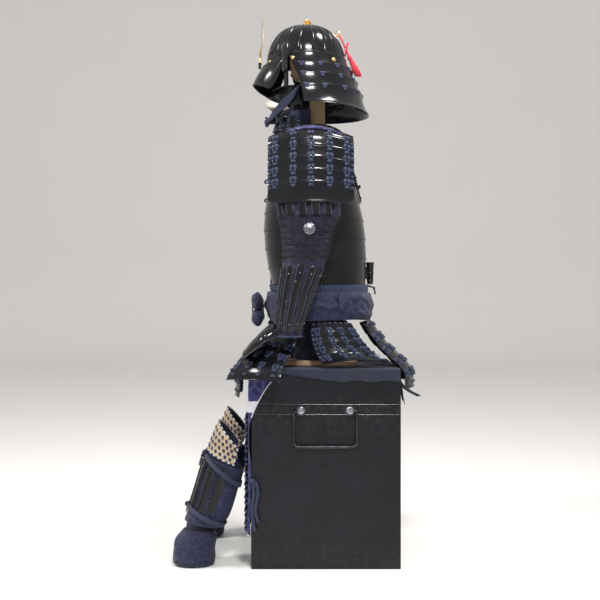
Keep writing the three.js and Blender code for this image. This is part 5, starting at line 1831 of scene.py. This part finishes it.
def shins():
    cloth, plates, edging, ribbons = Maker(), Maker(), Maker(), Maker()
    place, _ = leaning(WRAP)
    shape = Surface(lambda u, v: place(360 * u, v))

    def wrinkled(u, v):
        a = TAU * u
        return 0.7 * math.sin(4 * a + 11 * v) + 0.5 * math.sin(9 * a - 7 * v) - 0.9 * bump(v, 0.2, 0.035) - 0.7 * bump(
            v, 0.85, 0.03)
    cloth.slab(shape, list(steps(0, 1, 90)[:-1]), steps(0, 1, 44), 3.0, wrinkled, closed=True)
    pieces = lay_pair("shin_cloth", cloth, SHIN_SILK, ["shin_wrap"], slot="brocade", crease=70)
    # upright splints round the front and the sides, joined by rows of mail
    for i in range(7):
        centre = -96 + 32 * i
        length = 1.0 - 0.05 * abs(i - 3)

        def along(s, t, centre=centre, length=length):
            return place(centre + (s - 0.5) * 20, mix(0.07, 0.9 * length, t))
        plate = Surface(along)
        plates.slab(plate, steps(0, 1, 6), [0, 0.01, 0.05, *steps(0.1, 0.9, 14), 0.95, 0.99, 1.0], 1.8,
                    lambda s, t: 2.6 + 2.4 * math.sin(math.pi * min(max(s, 0), 1)) ** 0.7)
        for t in (0.06, 0.94):
            p, r, b, n = plate.frame(0.5, t)
            plates.pad(p + n * 4.8, r, b, n, 4.4, 4.4, 2.2)
        if i < 6:
            for t in steps(0.12, 0.82, 11):
                p, r, b, n = shape.frame(((centre + 16) % 360) / 360, t)
                torus(edging, p + n * 1.4, n if int(t * 100) % 2 else unit(n + b * 0.6), 3.2, 0.75, 10, 5)
    lay_pair("shin_splints", plates, BLACK, slot="lacquer", crease=50)
    lay_pair("shin_mail", edging, IRON, slot="handle_iron", crease=80)
    # two ties round each shin, the upper one with a bow in front
    for v, slope, bow in ((0.16, 0.10, True), (0.86, 0.06, False)):
        ring = []
        for d in steps(0, 360, 80):
            middle = v + slope * math.cos(math.radians(d)) * -1
            p, r, b, n = shape.frame((d % 360) / 360, min(max(middle, 0.01), 0.99))
            ring.append((p, r, b, n))
        outer = [[p + n * 6.4 + b * w for w in (-6.5, -2, 2, 6.5)] for p, r, b, n in ring]
        inner = [[p + n * 4.8 + b * w for w in (-6.5, -2, 2, 6.5)] for p, r, b, n in ring]
        ribbons.wall([list(x) for x in zip(*outer)], [list(x) for x in zip(*inner)])
        p, r, b, n = ring[0]
        ribbons.pad(p + n * 6, r, b, n, 16, 15, 9, 3, 12)
        if bow:
            for side in (-1, 1):
                loop = [p + n * (8 + 3 * math.sin(a)) + r * side * (17 * (1 - math.cos(a)) / 2 + 2)
                        + b * (9 * math.sin(a) - 2) for a in np.linspace(0, TAU, 24)]
                ribbons.tube(loop, 4.6, 8, flat=0.4)
                ribbons.tube(smooth_path([p + n * 7, p + n * 9 + b * 16 + r * side * 8, p + n * 6 + b * 36 + r * side * 13], 14),
                             4.2, 8, flat=0.35)
    lay_pair("shin_ribbon", ribbons, CORD, slot="navy_cloth", crease=70)


def knees():
    cover, rim, dots, lining = Maker(), Maker(), Maker(), Maker()
    place, line = leaning(KNEE)

    def knee_place(across, down):
        reach = line(down)["reach"]
        return place(mix(-reach, reach, across), down)
    shape = Surface(knee_place)

    def cell(u, v):
        """How far this point is from the seams of a hexagon quilt, 0 on a seam and 1 in a middle."""
        x, y = u * 15.0, v * 4.2
        best = []
        for shift in (0, 1):
            cx = round(x - 0.5 * shift) + 0.5 * shift
            cy = (round((y - shift * 0.866) / 1.732)) * 1.732 + shift * 0.866
            best.append(math.hypot(x - cx, y - cy))
        return max(0.0, 1 - min(best) / 0.56)

    def quilt(u, v):
        return 1.9 * cell(u, v) ** 0.6 - 0.6
    cover.slab(shape, steps(0, 1, 150), steps(0, 1, 46), 4.0, quilt, soft=0.3)
    pieces = lay_pair("knee_cover", cover, TAN, ["knee_guard"], slot="leather", crease=60)
    for row in range(5):
        for c in range(16):
            u, v = (c + 0.5 * (row % 2)) / 15.0, row * 0.866 / 4.2
            if 0.02 < u < 0.98 and 0.04 < v < 0.97:
                p, r, b, n = shape.frame(u, v)
                dots.pad(p + n * (quilt(u, v) - 0.2), r, b, n, 9.5, 9.5, 2.4, 3, 10)
    lay_pair("knee_stitches", dots, CORD, slot="lacing")
    # a black and white cord is sewn round the edge
    dark, light = Maker(), Maker()
    outline = [shape.at(u, 0.0, 0.4) for u in steps(0.0, 1.0, 160)]
    outline += [shape.at(1.0, v, 0.4) for v in steps(0.0, 1.0, 30)[1:]]
    outline += [shape.at(u, 1.0, 0.4) for u in steps(1.0, 0.0, 160)[1:]]
    outline += [shape.at(0.0, v, 0.4) for v in steps(1.0, 0.0, 30)[1:]]
    step = 5
    for k, i in enumerate(range(0, len(outline) - step, step)):
        (dark if k % 2 else light).tube(outline[i:i + step + 1], 2.0, 6)
    lay_pair("knee_cord_dark", dark, CORD, slot="lacing")
    lay_pair("knee_cord_light", light, SILVER_SILK, slot="brocade")
    lining.slab(shape, steps(0.01, 0.99, 80), steps(0.03, 0.99, 16), 1.2, lambda u, v: -4.4)
    lay_pair("knee_lining", lining, SEAT_CLOTH, slot="navy_cloth", crease=70)


FOOT = table([(0, -404, -312, 38), (6, -411, -305, 43), (14, -414, -302, 46), (48, -413, -300, 48), (80, -402, -296, 46),
              (96, -388, -300, 40)], "front", "rear", "half")


def feet():
    sock, seam = Maker(), Maker()
    rows = []
    for z in [0.0, 1.5, 4, 8, 14, 20, *steps(26, 90, 18), 93, 95.4, 96.0]:
        row = FOOT(z)
        shrink = 0.94 if z in (0.0, 96.0) else 1.0
        ring = []
        for d in steps(0, 360, 56)[:-1]:
            a = math.radians(d)
            p = oval(d, row["half"] * shrink, row["front"], row["rear"], z, 0.94) + vec(SHIN_X, 0, 0)
            centre = vec(SHIN_X, (row["front"] + row["rear"]) / 2, z)
            out = unit(p - centre)
            puff = 0.8 * math.sin(4 * a + z / 9) + 0.6 * math.sin(7 * a - z / 13)
            split = -5.0 * bump((d if d < 180 else d - 360), -17, 5) * bump(z, 18, 26)
            ring.append(p + out * ((puff if 4 < z < 94 else 0) + split))
        rows.append(ring)
    base = sock.grid(rows, closed=True)
    sock.faces.append(tuple(range(base, base + 56)))
    end = base + (len(rows) - 1) * 56
    sock.faces.append(tuple(range(end + 55, end - 1, -1)))
    pieces = lay_pair("foot_sock", sock, SHIN_SILK, ["foot"], slot="navy_cloth", crease=70)
    row = FOOT(10)
    sole = [oval(d, row["half"] + 0.6, row["front"] - 0.6, row["rear"] + 0.6, 9, 0.94) + vec(SHIN_X, 0, 0)
            for d in steps(0, 360, 90)]
    seam.tube(sole, 1.3, 6)
    lay_pair("foot_seam", seam, CORD, slot="navy_cloth")


# ------------------------------------------------------------------ stand

def under_cloth():
    """Dark cloth is wound round the post under the skirts."""
    cloth = Maker()

    def place(across, down):
        a, z = TAU * across, mix(700, 552, down)
        swell = 1 + 0.22 * down + 0.05 * math.sin(6 * a + 3 * down)
        return oval(360 * across, 64 * swell, -20 - 62 * swell, -20 + 58 * swell, z)
    cloth.slab(Surface(place), list(steps(0, 1, 90)[:-1]), steps(0, 1, 24), 2.0,
               lambda u, v: 1.6 * math.sin(11 * TAU * u + 3 * v), closed=True)
    lay("under_cloth", cloth, SEAT_CLOTH, slot="navy_cloth", crease=70)


def stand():
    wood = Maker()
    foot = TOP + 2.6
    wood.block((-110, -110, foot), (110, 90, foot + 14), 2.0)
    wood.block((-22, -42, foot + 10), (22, 2, 1362), 2.0)
    wood.block((-112, -36, 1136), (112, -6, 1168), 4.0)
    profile = table([(1500, 22), (1492, 34), (1482, 42), (1440, 46), (1400, 46), (1370, 41), (1352, 34)], "half")
    rows = []
    for z in steps(1352, 1500, 14):
        half = profile(z)["half"]
        rows.append([oval(d, half, -52 - half, -52 + half, z) for d in steps(0, 360, 36)[:-1]])
    base = wood.grid(rows, closed=True)
    wood.faces.append(tuple(range(base, base + 36)))
    end = base + (len(rows) - 1) * 36
    wood.faces.append(tuple(range(end + 35, end - 1, -1)))
    lay("stand_frame", wood, WOOD, ["stand"], slot="stand_wood")


apron()
seat_cloth()
cloth_tail()
shins()
knees()
feet()
under_cloth()
stand()
